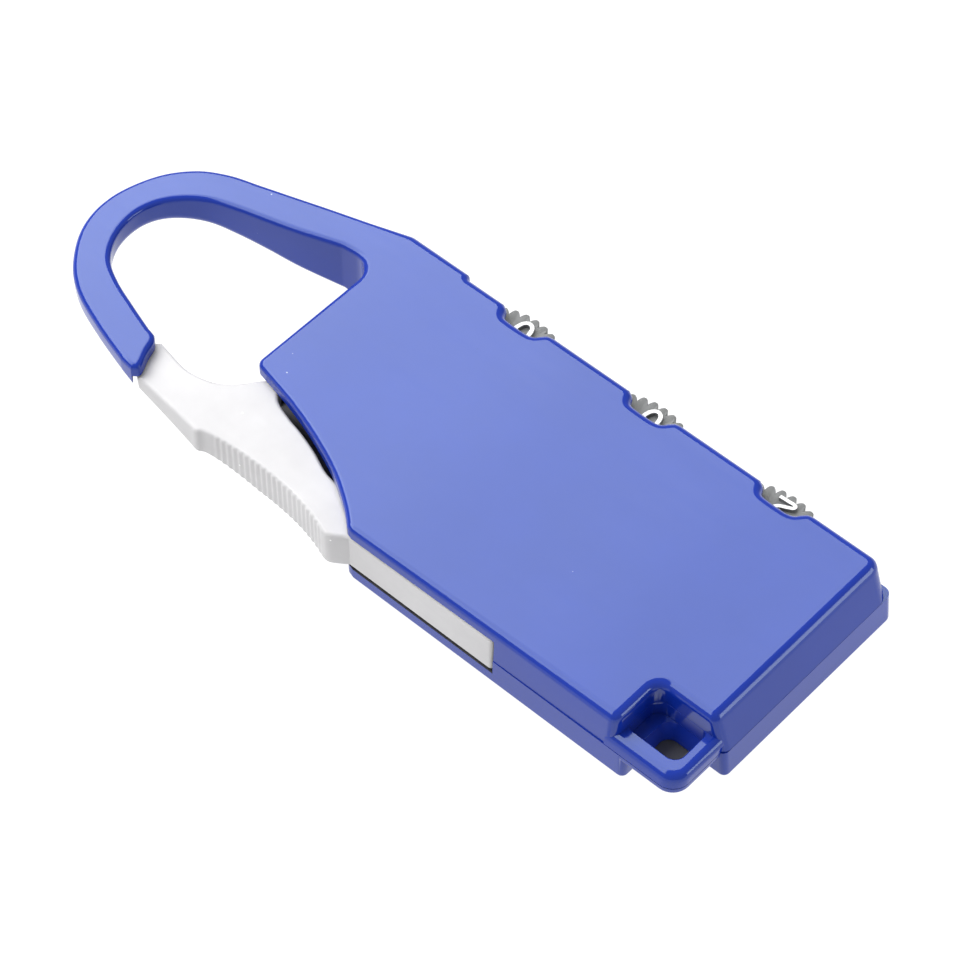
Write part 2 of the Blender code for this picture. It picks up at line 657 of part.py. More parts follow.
def make_click_strip(material):
    """A leaf spring beside the wheels, with one shallow crest per wheel."""
    centre = [(STRIP_X, STRIP_Y[0])]
    for y in reversed(DIAL_Y):
        centre += [(STRIP_X, y - CREST_HALF), (STRIP_X + CREST, y), (STRIP_X, y + CREST_HALF)]
    centre.append((STRIP_X, STRIP_Y[1]))
    outline = [(x + STRIP_T, y) for x, y in centre] + [(x, y) for x, y in reversed(centre)]
    return finish(prism("click_strip", outline, *STRIP_Z, origin=(STRIP_X, 0.0, STRIP_Z[0])), material)


def make_all():
    clear_scene()
    paint = make_materials()
    steel = paint["steel"]
    make_front_shell(paint["blue_paint"])
    make_back_shell(paint["blue_paint"])
    make_gate(paint["satin_zinc"])
    x, y = GATE_PIVOT
    turned_pin("gate_pivot_pin", x, y, [(GATE_PIN_R, POST_Z[0]), (GATE_PIN_R, POST_Z[1])], steel)
    make_coil("gate_spring", *GATE_SPRING, steel)
    make_locking_bar(paint["brass"])
    for i, y in enumerate(BAR_SPRING_Y, 1):
        start = (BAR_SPRING_X, y, BAR_SPRING_Z)
        make_coil(f"bar_spring_{i}", start, (1, 0, 0), BAR_SPRING_LENGTH, BAR_SPRING_R, SPRING_TURNS, steel)
    for i, y in enumerate(DIAL_Y, 1):
        make_number_wheel(i, y, paint["dial_grey"])
        make_code_disc(i, y, paint["brass"])
        make_wave_washer(i, y, steel)
        turned_pin(f"dial_post_{i}", DIAL_X, y, [(POST_R, POST_Z[0]), (POST_R, POST_Z[1])], steel)
    make_click_strip(steel)
    x, y = RESET_AT
    turned_pin("reset_plunger", x, y, RESET_PROFILE, steel)
    start = (x, y, RESET_SPRING_Z)
    make_coil("reset_spring", start, (0, 0, 1), RESET_SPRING_LENGTH, RESET_SPRING_R, SPRING_TURNS, steel)
    for i, (x, y) in enumerate(RIVETS, 1):
        turned_pin(f"rivet_{i}", x, y, RIVET_PROFILE, steel)


make_all()
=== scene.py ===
"""Looks of a hook-shaped three-dial combination padlock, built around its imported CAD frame.

Shapes are worked out in millimetres, in the frame's own axes: +X is the dial side, +Y the hook end and +Z the
front face. They are scaled to metres when a mesh is made.
"""

import json
import math

import bmesh
import bpy
from mathutils import Matrix, Vector


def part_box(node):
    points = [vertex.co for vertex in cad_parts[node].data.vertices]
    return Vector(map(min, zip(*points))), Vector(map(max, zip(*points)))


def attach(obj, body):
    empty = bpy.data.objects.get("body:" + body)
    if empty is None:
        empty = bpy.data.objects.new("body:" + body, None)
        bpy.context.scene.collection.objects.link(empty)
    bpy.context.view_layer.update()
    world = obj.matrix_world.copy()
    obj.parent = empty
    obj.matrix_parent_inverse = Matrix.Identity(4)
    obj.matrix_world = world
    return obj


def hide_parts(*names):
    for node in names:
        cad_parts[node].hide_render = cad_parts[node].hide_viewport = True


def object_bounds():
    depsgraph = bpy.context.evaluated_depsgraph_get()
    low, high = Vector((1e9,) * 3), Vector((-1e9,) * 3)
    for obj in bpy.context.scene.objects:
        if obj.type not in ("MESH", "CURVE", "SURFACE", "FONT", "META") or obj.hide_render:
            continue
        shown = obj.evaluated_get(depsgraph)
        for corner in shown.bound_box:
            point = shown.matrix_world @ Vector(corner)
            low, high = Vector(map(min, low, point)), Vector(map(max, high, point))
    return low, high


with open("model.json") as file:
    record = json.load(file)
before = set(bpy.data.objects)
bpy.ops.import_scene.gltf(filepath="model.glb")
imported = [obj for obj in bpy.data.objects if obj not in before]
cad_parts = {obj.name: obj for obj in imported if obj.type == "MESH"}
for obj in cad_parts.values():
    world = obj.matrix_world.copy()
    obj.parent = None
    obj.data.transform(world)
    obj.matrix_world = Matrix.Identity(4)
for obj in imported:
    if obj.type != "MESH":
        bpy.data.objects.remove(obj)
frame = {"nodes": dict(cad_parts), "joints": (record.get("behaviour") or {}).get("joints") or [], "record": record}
cad_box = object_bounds()

MM = 0.001


def box_mm(node):
    low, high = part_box(node)
    return low / MM, high / MM


def centre_mm(node):
    low, high = box_mm(node)
    return (low + high) / 2


# Places read from the frame
BACK_LOW, BACK_HIGH = box_mm("back_shell")
LEFT = BACK_LOW.x
RIGHT = BACK_HIGH.x
SHOULDER = BACK_HIGH.y
TOP = box_mm("front_shell")[1].z
CROWN = box_mm("front_shell")[1].y
POSTS = [centre_mm(f"dial_post_{i}") for i in (1, 2, 3)]
POST_R = (box_mm("dial_post_1")[1].x - box_mm("dial_post_1")[0].x) / 2
RIVETS = [centre_mm(f"rivet_{i}") for i in range(1, 6)]
RESET = centre_mm("reset_plunger")
PIVOT = Vector(next(j for j in frame["joints"] if j["name"] == "gate_swing")["pos_m"]) / MM

# Heights that the frame's boxes don't show
PARTING = 3.5
LOOP_TOP = 5.2
WHEEL_LOW = 4.2
WHEEL_HIGH = 6.0

# Body
DIAL_SIDE = 14.9
PARTING_GAP = 0.04
EDGE_ROUND = 0.95
HOOK_EDGE_ROUND = 0.6
BACK_ROUND = 0.5
HIDDEN_ROUND = 0.5
TIP_LOW_ROUND = 0.6
CORNER_R = 1.5
BACK_CORNER_R = 1.0
# The end face leans: it reaches furthest at the back face and draws in towards the front
BACK_END = -30.45
FRONT_END = -30.1
LOOP_END = -29.65
LEAN_FROM_Y = -25.0
FRONT_LEAN = (3.5, 7.8, 1.45)
BACK_LEAN = (0.0, 3.5, 0.35)
# The left wall leans a little too, above the parting line
LEFT_LEAN = 0.4
LEFT_LEAN_FADE = 3.0
LEAN_FROM_X = -12.6
LEAN_OVER_X = 0.8
PLATE_LOW = 6.8
FLOOR_TOP = 1.0
CAVITY = [(-13.9, -20.9), (-7.4, -20.9), (-7.4, -28.6), (13.3, -28.6), (13.3, 28.7), (-5.3, 28.7),
          (-6.3, 24.4), (-7.9, 20.0), (-9.8, 15.5), (-11.8, 12.1), (-13.9, 9.4)]
SCOOP = [(-6.9, 28.4), (-7.9, 24.2), (-9.3, 19.9), (-11.1, 15.7), (-13.2, 12.3), (-14.9, 10.2)]
SCOOP_END_Y = 9.5
SCOOP_STEPS = 7

# Rivets, posts, the gate's pin and the reset plunger: bosses and holes in the shells
BOSS_R = 1.7
BOSS_TOP = 7.0
BOSS_ROOT = FLOOR_TOP - 0.3
RIVET_HOLE_R = 0.86
RIVET_HOLE_TOP = 6.3
RIVET_SINK_R = 1.5
RIVET_SINK_TOP = 0.6
POST_BOSS_R = 2.0
POST_BOSS_TOP = 1.5
PIN_HOLE_R = 0.95
HOLE_TOP = 7.15
HOLE_LOW = 0.5
RESET_HOLE_R = 1.26

# Hook stations from root to tip: inner x, inner y, outer x, outer y, underside z, underside rounding
HOOK = [
    (9.6, 34.0, 13.8, 34.0, 1.1, 0.7),
    (8.0, 38.6, 12.4, 38.5, 1.9, 0.9),
    (7.0, 42.0, 11.2, 42.2, 2.6, 1.1),
    (6.1, 45.2, 10.1, 45.6, 3.1, 1.2),
    (5.0, 48.0, 9.0, 48.9, 3.6, 1.3),
    (3.3, 50.1, 7.1, 51.9, 4.1, 1.3),
    (1.2, 51.5, 3.8, 54.3, 4.4, 1.35),
    (-1.3, 52.0, -1.0, 55.6, 4.5, 1.35),
    (-4.2, 51.4, -5.4, 54.9, 4.6, 1.35),
    (-6.7, 49.7, -9.2, 52.4, 4.7, 1.35),
    (-8.2, 47.1, -11.7, 49.2, 4.7, 1.35),
    (-9.4, 43.7, -13.5, 44.6, 4.8, 1.35),
    (-10.4, 40.6, -14.9, 39.8, 4.9, 1.2),
]
HOOK_TIP = [(-15.05, 38.4), (-14.4, 37.8), (-12.6, 38.6), (-11.2, 39.1), (-10.6, 39.7)]
HOOK_STEPS = 8
TIP_STEPS = 5
ROOT_Y = 30.05
ROOT_Z = 0.9

# Gate
GATE_TOP = 6.2
GATE_ROUND = 0.4
GATE_LOW_ROUND = 0.3
GATE_PITCH = 0.06
GATE_EDGE_STEPS = 5
LEG_IN = -11.2
LEG_OUT = -15.05
LEG_END = -7.85
SLOT_END = -8.0
SLOT_TOP = 6.35
SLOT_LOW = 1.6
GATE_OUTER = [(-14.7, 37.9), (-15.1, 33.8), (-15.5, 30.4), (-15.6, 29.3), (-15.1, 28.3), (-14.7, 25.0),
              (-14.6, 21.0), (-14.9, 17.2), (-15.5, 14.3), (-16.1, 12.4), (-16.1, 11.5), (-15.4, 10.4)]
GATE_INNER = [(-11.2, 14.0), (-10.9, 16.6), (-9.8, 19.3), (-9.0, 21.8), (-8.5, 23.9), (-7.7, 26.0),
              (-6.0, 27.6), (-6.9, 28.9), (-8.3, 30.0), (-9.3, 30.9), (-10.1, 32.1), (-10.6, 33.6),
              (-10.8, 35.4), (-10.4, 37.8)]
GATE_NOSE = [(-10.1, 39.3), (-10.6, 39.9), (-11.5, 40.1), (-12.8, 39.8), (-14.0, 38.9)]
NOSE_POCKET = [(-9.0, 40.6), (-11.5, 40.6), (-13.0, 40.3), (-14.4, 39.0), (-17.0, 36.25), (-17.0, 36.0),
               (-9.0, 36.0)]
TAPER_FROM = (22.2, 1.8)
TAPER_TO = (42.0, 5.1)
GATE_ROOM = [(-17.5, SLOT_END), (-12.5, SLOT_END), (-12.5, 9.0), (-8.6, 14.0), (-5.2, 22.0), (-4.4, 27.5),
             (2.4, 27.5), (2.4, 31.0), (-17.5, 31.0)]
RIB_FROM_Y = 28.2
RIB_TO_Y = 12.0
RIB_PITCH = 0.72
RIB_DEPTH = 0.075
RIB_FADE = 1.2

# Lanyard loop
POCKET_X = -8.9
POCKET_Y = -22.4
BACK_CUT_Y = -23.7
HOLE_X = (-13.2, -8.9)
HOLE_Y = (-28.1, -22.4)
LOOP_LOW = 2.6
LOOP_ROUND = 0.9
LOOP_LOW_ROUND = 0.5
LOOP_CORNER_R = 1.9
LOOP_REACH = 1.1
HOLE_CORNERS = (1.1, 0.5, 1.2, 0.5)
HOLE_FLARE = 0.22
HOLE_FLARE_FADE = 0.8
BACK_FLARE_Z = PARTING + 1.0

# Dials; 40 rounded teeth, ten figures each, and the figure that shows at the window
WHEEL_TIP_R = 7.65
WHEEL_ROOT_R = 6.98
WHEEL_TEETH = 40
POINTS_PER_TOOTH = 12
TIP_SHARPNESS = 0.85
TIP_FLAT = 1.06
WHEEL_EDGE = 0.12
# A shallow ring sunk in the wheel's underside, as (radius, depth) steps
WHEEL_RECESS = [(2.6, 0.0), (2.9, 0.12), (6.3, 0.12), (6.5, 0.0)]
WHEEL_HUB_R = 2.6
WHEEL_ROOM_R = 7.88
DIAL_TURN = (0.8, -1.4, 1.0)
DIAL_SHOWN = (0, 0, 2)
FIGURE_RAISE = 0.45
FIGURE_R = 5.3
FIGURE_SIZE = 4.5
FIGURE_BEVEL = 0.035
FIGURE_SINK = 0.02
FIGURE_OVERLAP = FIGURE_SINK + FIGURE_BEVEL
BORE_R = POST_R + 0.06
NOTCH = [(0.0, -3.4), (-0.15, -2.7), (-0.65, -2.15), (-1.15, -1.7), (-1.35, -0.9), (-1.35, 1.3),
         (-1.15, 2.0), (-0.4, 2.5), (0.0, 3.1)]

# The figure 2 as one bent stroke, in its own plane
TWO = [(-0.85, 0.8), (-0.65, 1.15), (-0.2, 1.35), (0.4, 1.3), (0.8, 0.9), (0.75, 0.4),
       (0.35, -0.15), (-0.3, -0.5), (-0.8, -0.75), (-0.98, -1.0), (-0.8, -1.2), (-0.3, -1.2),
       (0.9, -1.15)]
STROKE = 0.36

# Round pieces on the back, as (radius, z) steps from the low end to the high end
RIVET_STEPS = [(0.25, 0.11), (0.8, 0.13), (1.15, 0.2), (1.33, 0.3), (1.4, 0.42), (1.4, 0.55),
               (0.8, 0.57), (0.8, 6.2)]
RESET_STEPS = [(0.1, 0.62), (0.35, 0.55), (0.5, 0.42), (0.62, 0.36), (0.95, 0.35), (1.12, 0.4),
               (1.2, 0.52), (1.2, 1.2), (2.0, 1.25), (2.0, 1.75), (0.7, 1.8), (0.7, 4.4)]

# Plain blocks inside the shells: holders and slots for the click strip, and stops on the floor
STRIP_HOLDERS = [((-0.7, 20.0, 4.4), (1.2, 21.6, 7.0)), ((-0.7, -26.0, 4.4), (1.2, -24.4, 7.0))]
STRIP_SLOTS = [((0.0, 19.0, 4.0), (0.5, 21.0, 6.2)), ((0.0, -25.4, 4.0), (0.5, -24.0, 6.2))]
FLOOR_BLOCKS = [((-6.7, -1.9, 0.7), (-5.6, 1.9, 5.4)), ((7.0, 5.4, 0.7), (8.0, 7.4, 3.0)),
                ((7.0, -10.6, 0.7), (8.0, -8.6, 3.0)), ((-0.4, 16.6, 0.7), (4.0, 17.3, 2.6)),
                ((-0.4, -20.5, 0.7), (4.0, -19.8, 2.6))]

# A painted shadow on the floor seen through the lanyard hole, a patch where the floor doesn't glow: its centre and
# half lengths
FLOOR_SHADE_AT = (-8.5, -22.5)
FLOOR_SHADE = (3.9, 4.9)
FLOOR_SHADE_EDGE = 1.5
FLOOR_GLOW = 0.985

# Studio, in metres: one wide panel overhead, brighter in steps towards the hook end, and a low strip
PANEL_X = -0.135
PANEL_WIDTH = 1.33
PANEL_FROM_Y = 0.12
PANEL_TO_Y = 0.95
PANEL_Z = 0.70
PANEL_RADIANCE = 3.7
PANEL_STEPS_FROM_Y = (0.30, 0.38, 0.46, 0.54)
PANEL_STEP_Z = 0.005
PANEL_STEP_RADIANCE = 0.5
STRIP_AT = (0.10, -0.19, 0.045)
STRIP_AIM = (0.0, -0.03, 0.005)
STRIP_SIZE = (0.12, 0.07)
STRIP_RADIANCE = 4.0
WORLD_STRENGTH = 0.5
FLOOR_HALF = 1.6
FLOOR_GAP = 0.00005
CAMERA_AT = (-0.1544, -0.1329, 0.2710)
CAMERA_LOOK = (0.4545, 0.4121, -0.7897)
CAMERA_LENS = 134.7
CAMERA_SENSOR = 36.0

# Lengths for cutters: past the body, below it, and the overlap that keeps faces from coinciding
FAR = 40.0
UNDER = -1.0
STEP = 0.02
ARC_STEPS = 8
CIRCLE = 64


# ---------------------------------------------------------------- outlines

def smooth_line(knots, steps):
    """A Catmull-Rom line through knots of any dimension, ends included."""
    line = []
    last = len(knots) - 1
    for i in range(last):
        ends = [knots[max(i - 1, 0)], knots[i], knots[i + 1], knots[min(i + 2, last)]]
        for step in range(steps):
            t = step / steps
            weights = (
                -0.5 * t + t * t - 0.5 * t ** 3,
                1 - 2.5 * t * t + 1.5 * t ** 3,
                0.5 * t + 2 * t * t - 1.5 * t ** 3,
                -0.5 * t * t + 0.5 * t ** 3,
            )
            line.append(tuple(sum(w * k[a] for w, k in zip(weights, ends)) for a in range(len(knots[0]))))
    line.append(tuple(knots[last]))
    return line


def corner(before, here, after, radius, steps=ARC_STEPS):
    """Points that round one corner of an outline."""
    here = Vector(here)
    to_before = (Vector(before) - here).normalized()
    to_after = (Vector(after) - here).normalized()
    half = math.acos(max(-1.0, min(1.0, to_before.dot(to_after)))) / 2
    start = here + to_before * (radius / math.tan(half))
    end = here + to_after * (radius / math.tan(half))
    centre = here + (to_before + to_after).normalized() * (radius / math.sin(half))
    sweep = (start - centre).angle_signed(end - centre)
    arm = start - centre
    points = []
    for step in range(steps + 1):
        turn = -sweep * step / steps
        points.append((
            centre.x + arm.x * math.cos(turn) - arm.y * math.sin(turn),
            centre.y + arm.x * math.sin(turn) + arm.y * math.cos(turn),
        ))
    return points


def rounded(knots):
    """An outline from (x, y, corner radius) knots; a radius of 0 keeps the corner."""
    outline = []
    count = len(knots)
    for i, (x, y, radius) in enumerate(knots):
        if radius:
            outline += corner(knots[i - 1][:2], (x, y), knots[(i + 1) % count][:2], radius)
        else:
            outline.append((x, y))
    return outline


def inset(outline, distances):
    """The counterclockwise outline moved inward, by one distance or one for each point.

    Where a tight convex bend would fold over itself, its points gather in one place.
    """
    count = len(outline)
    base = [Vector(point) for point in outline]
    each = distances if isinstance(distances, list) else [distances] * count
    moved = []
    for i, here in enumerate(base):
        first = (here - base[i - 1]).normalized()
        second = (base[(i + 1) % count] - here).normalized()
        normal = Vector((-first.y - second.y, first.x + second.x)).normalized()
        spread = max(0.6, normal.dot(Vector((-first.y, first.x))))
        moved.append(here + normal * (each[i] / spread))
    for _ in range(40):
        folded = [
            (moved[(i + 1) % count] - moved[i]).dot(base[(i + 1) % count] - base[i]) < -1e-9
            for i in range(count)
        ]
        if not any(folded):
            break
        start = next(i for i in range(count) if not folded[i])
        i = start
        while i < start + count:
            if folded[i % count]:
                run = [i % count]
                while folded[(i + 1) % count]:
                    i += 1
                    run.append(i % count)
                run.append((i + 1) % count)
                middle = sum((moved[k] for k in run), Vector((0.0, 0.0))) / len(run)
                for k in run:
                    moved[k] = middle.copy()
            i += 1
    return moved


def circle(x, y, radius, count=CIRCLE):
    turns = [2 * math.pi * i / count for i in range(count)]
    return [(x + radius * math.cos(turn), y + radius * math.sin(turn)) for turn in turns]


def hook_lines():
    """The hook's stations, and its inner and outer lines, from its root to its tip."""
    stations = []
    for x, y, far_x, far_y, z, r in smooth_line(HOOK, HOOK_STEPS):
        stations.append((x, y, far_x, min(far_y, CROWN), z, r))
    return stations, [s[:2] for s in stations], [s[2:4] for s in stations]


def scoop_line():
    """The finger scoop beside the gate, from the shoulder to the left wall."""
    return smooth_line(SCOOP, SCOOP_STEPS) + [(LEFT, SCOOP_END_Y)]


def dial_side_line():
    """The dial side of the front shell from the end towards the hook, with a notch at each dial."""
    line = []
    for post in reversed(POSTS):
        line += [(DIAL_SIDE + dx, post.y + dy) for dx, dy in smooth_line(NOTCH, 6)]
    return line


def front_outline():
    """The front shell's outline, and the index where the hook's outer line starts in it."""
    _, inner, outer = hook_lines()
    lower = rounded([(LEFT, 0.0, 0), (LEFT, POCKET_Y, 1.0), (POCKET_X, POCKET_Y, 1.2),
                     (POCKET_X, FRONT_END, 1.0), (DIAL_SIDE, FRONT_END, CORNER_R), (DIAL_SIDE, -25.0, 0)])
    step_out = rounded([(DIAL_SIDE, 20.0, 0), (DIAL_SIDE, 22.0, 0.4), (RIGHT, 22.5, 0.4),
                        (RIGHT, SHOULDER, 2.0), (outer[0][0], outer[0][1], 0)])
    root = rounded([(inner[0][0], inner[0][1], 0), (10.0, SHOULDER + 0.1, 2.3), (0.0, SHOULDER + 0.1, 0)])
    shoulder = rounded([(0.0, SHOULDER + 0.1, 0), (-6.55, SHOULDER + 0.1, 0.9), (-6.9, 28.4, 0)])
    outline = lower[1:-1] + dial_side_line() + step_out[1:-1]
    hook_start = len(outline)
    outline += outer + smooth_line(HOOK_TIP, TIP_STEPS) + list(reversed(inner))
    outline += root[1:-1] + shoulder[1:-1] + scoop_line()
    return outline, hook_start


def back_outline():
    lower = rounded([(LEFT, 0.0, 0), (LEFT, BACK_CUT_Y, 0.7), (POCKET_X, BACK_CUT_Y, 1.0),
                     (POCKET_X, BACK_END, 0.7), (RIGHT, BACK_END, BACK_CORNER_R),
                     (RIGHT, SHOULDER, 0.8), (-6.55, SHOULDER, 0.9), (-6.9, 28.4, 0)])
    return lower[1:-1] + scoop_line()


# ---------------------------------------------------------------- solids

def add_mesh(name, points, faces, material=None):
    """One closed mesh from points in millimetres."""
    mesh = bpy.data.meshes.new(name)
    mesh.from_pydata([Vector(point) * MM for point in points], [], faces)
    edit = bmesh.new()
    edit.from_mesh(mesh)
    bmesh.ops.remove_doubles(edit, verts=edit.verts, dist=0.0005 * MM)
    bmesh.ops.recalc_face_normals(edit, faces=edit.faces)
    edit.to_mesh(mesh)
    edit.free()
    obj = bpy.data.objects.new(name, mesh)
    bpy.context.scene.collection.objects.link(obj)
    if material:
        mesh.materials.append(material)
    return obj


def stacked(name, loops, material=None, low_caps=None):
    """A closed solid through loops of equal length, given from the low end to the high end."""
    count = len(loops[0])
    points = [point for loop in loops for point in loop]
    faces = [tuple(cap) for cap in low_caps] if low_caps else [tuple(range(count))]
    faces.append(tuple(range((len(loops) - 1) * count, len(loops) * count)))
    for level in range(len(loops) - 1):
        low = level * count
        for i in range(count):
            j = (i + 1) % count
            faces.append((low + i, low + j, low + count + j, low + count + i))
    return add_mesh(name, points, faces, material)


def flat(outline, z):
    return [(point[0], point[1], z) for point in outline]


def prism(name, outline, low, high, material=None):
    return stacked(name, [flat(outline, low), flat(outline, high)], material)


def wall_loops(outline, lows, high, low_rounds, high_rounds, steps=6):
    """Loops of an upright wall, with its lower and upper edges rounded by quarter circles."""
    count = len(outline)
    lows = lows if isinstance(lows, list) else [lows] * count
    low_rounds = low_rounds if isinstance(low_rounds, list) else [low_rounds] * count
    high_rounds = high_rounds if isinstance(high_rounds, list) else [high_rounds] * count
    loops = []
    if any(low_rounds):
        for step in range(steps + 1):
            turn = math.pi / 2 * step / steps
            ring = inset(outline, [r * (1 - math.sin(turn)) for r in low_rounds])
            heights = [z + r * (1 - math.cos(turn)) for z, r in zip(lows, low_rounds)]
            loops.append([(p[0], p[1], z) for p, z in zip(ring, heights)])
    else:
        loops.append([(p[0], p[1], z) for p, z in zip(outline, lows)])
    if any(high_rounds):
        for step in range(steps + 1):
            turn = math.pi / 2 * step / steps
            ring = inset(outline, [r * (1 - math.cos(turn)) for r in high_rounds])
            heights = [high - r * (1 - math.sin(turn)) for r in high_rounds]
            loops.append([(p[0], p[1], z) for p, z in zip(ring, heights)])
    else:
        loops.append(flat(outline, high))
    return loops


def lean_end(solid, end, low, high, amount):
    """Leans the end face of a solid inwards, by an amount reached between two heights."""
    for vertex in solid.data.vertices:
        beyond = (LEAN_FROM_Y - vertex.co.y / MM) / (LEAN_FROM_Y - end)
        rise = min(1.0, (vertex.co.z / MM - low) / (high - low))
        vertex.co.y += max(0.0, beyond) * rise * amount * MM


def lean_left(solid, low, high):
    """Leans the left wall of a solid inwards, beside the body and not along the hook."""
    for vertex in solid.data.vertices:
        x, y, z = vertex.co / MM
        beyond = min(1.0, max(0.0, (LEAN_FROM_X - x) / LEAN_OVER_X))
        rise = min(1.0, max(0.0, (z - low) / (high - low)))
        fade = min(1.0, max(0.0, (SCOOP_END_Y - y) / LEFT_LEAN_FADE))
        vertex.co.x += beyond * rise * fade * LEFT_LEAN * MM


def box(name, low, high, material=None):
    outline = [(low[0], low[1]), (high[0], low[1]), (high[0], high[1]), (low[0], high[1])]
    return prism(name, outline, low[2], high[2], material)


def disc(name, x, y, radius, low, high, material=None, count=CIRCLE):
    return prism(name, circle(x, y, radius, count), low, high, material)


def joined(name, solids, material):
    """Separate solids as one helper mesh."""
    edit = bmesh.new()
    for solid in solids:
        edit.from_mesh(solid.data)
        bpy.data.objects.remove(solid, do_unlink=True)
    mesh = bpy.data.meshes.new(name)
    edit.to_mesh(mesh)
    edit.free()
    mesh.materials.append(material)
    obj = bpy.data.objects.new(name, mesh)
    bpy.context.scene.collection.objects.link(obj)
    return obj


def combine(target, other, operation):
    """Applies a Boolean at once. The cutter's own material stays on the faces that it leaves."""
    modifier = target.modifiers.new("combine", "BOOLEAN")
    modifier.object = other
    modifier.operation = operation
    modifier.solver = "EXACT"
    modifier.material_mode = "TRANSFER"
    graph = bpy.context.evaluated_depsgraph_get()
    mesh = bpy.data.meshes.new_from_object(target.evaluated_get(graph))
    old = target.data
    target.modifiers.clear()
    target.data = mesh
    bpy.data.meshes.remove(old)
    bpy.data.objects.remove(other, do_unlink=True)


def tidy(obj, flat_angle=0.02):
    """Joins coplanar faces and drops doubled points after Booleans. The angle is in degrees."""
    edit = bmesh.new()
    edit.from_mesh(obj.data)
    bmesh.ops.remove_doubles(edit, verts=edit.verts, dist=0.002 * MM)
    bmesh.ops.dissolve_limit(edit, angle_limit=math.radians(flat_angle), verts=edit.verts,
                             edges=edit.edges, delimit={"MATERIAL"})
    edit.to_mesh(obj.data)
    edit.free()


def shade(obj, angle=30.0):
    """Smooth shading with sharp edges kept, and normals that follow the large faces."""
    obj.data.shade_smooth()
    obj.data.set_sharp_from_angle(angle=math.radians(angle))
    weighted = obj.modifiers.new("normals", "WEIGHTED_NORMAL")
    weighted.keep_sharp = True
    weighted.weight = 60
    return obj


def stands_for(obj, node, body):
    """Lets a piece ride a body in place of one CAD node."""
    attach(obj, body)
    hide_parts(node)
    return obj


# ---------------------------------------------------------------- materials

def new_material(name):
    material = bpy.data.materials.new(name)
    material.use_nodes = True
    return material, material.node_tree.nodes, material.node_tree.links


def noise_node(nodes, links, place, scale, detail=4.0, roughness=0.55):
    made = nodes.new("ShaderNodeTexNoise")
    made.inputs["Scale"].default_value = scale
    made.inputs["Detail"].default_value = detail
    made.inputs["Roughness"].default_value = roughness
    links.new(place, made.inputs["Vector"])
    return made.outputs["Fac"]


def ramp(nodes, links, value, stops):
    """A colour or grey value that follows another value through (position, value) stops."""
    made = nodes.new("ShaderNodeValToRGB")
    elements = made.color_ramp.elements
    while len(elements) < len(stops):
        elements.new(0.5)
    for element, (position, color) in zip(elements, stops):
        element.position = position
        element.color = (*color, 1.0) if isinstance(color, tuple) else (color, color, color, 1.0)
    links.new(value, made.inputs["Fac"])
    return made.outputs["Color"]


def mixed(nodes, links, factor, first, second):
    """A mix from one colour socket to a fixed colour."""
    made = nodes.new("ShaderNodeMix")
    made.data_type = "RGBA"
    factor_input, first_input, second_input = (made.inputs[i] for i in (0, 6, 7))
    links.new(factor, factor_input)
    links.new(first, first_input)
    second_input.default_value = (*second, 1.0)
    return made.outputs[2]


def math_node(nodes, links, operation, *sockets):
    made = nodes.new("ShaderNodeMath")
    made.operation = operation
    for i, socket in enumerate(sockets):
        links.new(socket, made.inputs[i])
    return made


def bumped(nodes, links, shader, height, distance, strength=1.0):
    """Adds fine relief, with its depth in millimetres."""
    made = nodes.new("ShaderNodeBump")
    made.inputs["Distance"].default_value = distance * MM
    made.inputs["Strength"].default_value = strength
    links.new(height, made.inputs["Height"])
    links.new(made.outputs["Normal"], shader.inputs["Normal"])


def object_place(nodes, links, stretch=(1.0, 1.0, 1.0)):
    """Object coordinates, which may be stretched to draw a texture out along an axis."""
    place = nodes.new("ShaderNodeTexCoord").outputs["Object"]
    if stretch == (1.0, 1.0, 1.0):
        return place
    mapping = nodes.new("ShaderNodeMapping")
    mapping.inputs["Scale"].default_value = stretch
    links.new(place, mapping.inputs["Vector"])
    return mapping.outputs["Vector"]


def specks(nodes, links, place, cell, size):
    """Small scattered dots, one in each cell of a given width in millimetres: 1 on a dot and 0 off it."""
    made = nodes.new("ShaderNodeTexVoronoi")
    made.inputs["Scale"].default_value = 1 / (cell * MM)
    made.inputs["Randomness"].default_value = 1.0
    links.new(place, made.inputs["Vector"])
    return ramp(nodes, links, made.outputs["Distance"], [(size / cell * 0.6, 1.0), (size / cell, 0.0)])


def paint_material():
    """Deep blue gloss lacquer with faint mottling, dust specks and hairline scuffs."""
    material, nodes, links = new_material("blue_lacquer")
    shader = nodes["Principled BSDF"]
    place = object_place(nodes, links)
    mottle = noise_node(nodes, links, place, 90.0, 5.0)
    color = ramp(nodes, links, mottle, [(0.3, (0.004, 0.024, 0.285)), (0.7, (0.006, 0.028, 0.315))])
    blots = noise_node(nodes, links, place, 420.0, 6.0, 0.7)
    smudge = ramp(nodes, links, blots, [(0.68, 0.0), (0.76, 1.0)])
    color = mixed(nodes, links, smudge, color, (0.003, 0.025, 0.26))
    dust = specks(nodes, links, place, 4.6, 0.10)
    color = mixed(nodes, links, dust, color, (0.38, 0.42, 0.60))
    links.new(color, shader.inputs["Base Color"])
    streaks = object_place(nodes, links, (1.0, 0.08, 1.0))
    rough = ramp(nodes, links, noise_node(nodes, links, streaks, 900.0, 3.0), [(0.35, 0.07), (0.75, 0.15)])
    links.new(rough, shader.inputs["Roughness"])
    shader.inputs["IOR"].default_value = 1.5
    shader.inputs["Specular Tint"].default_value = (0.84, 1.0, 1.0, 1.0)
    peel = noise_node(nodes, links, place, 700.0, 2.0)
    bumped(nodes, links, shader, peel, 0.004, 0.5)
    return material


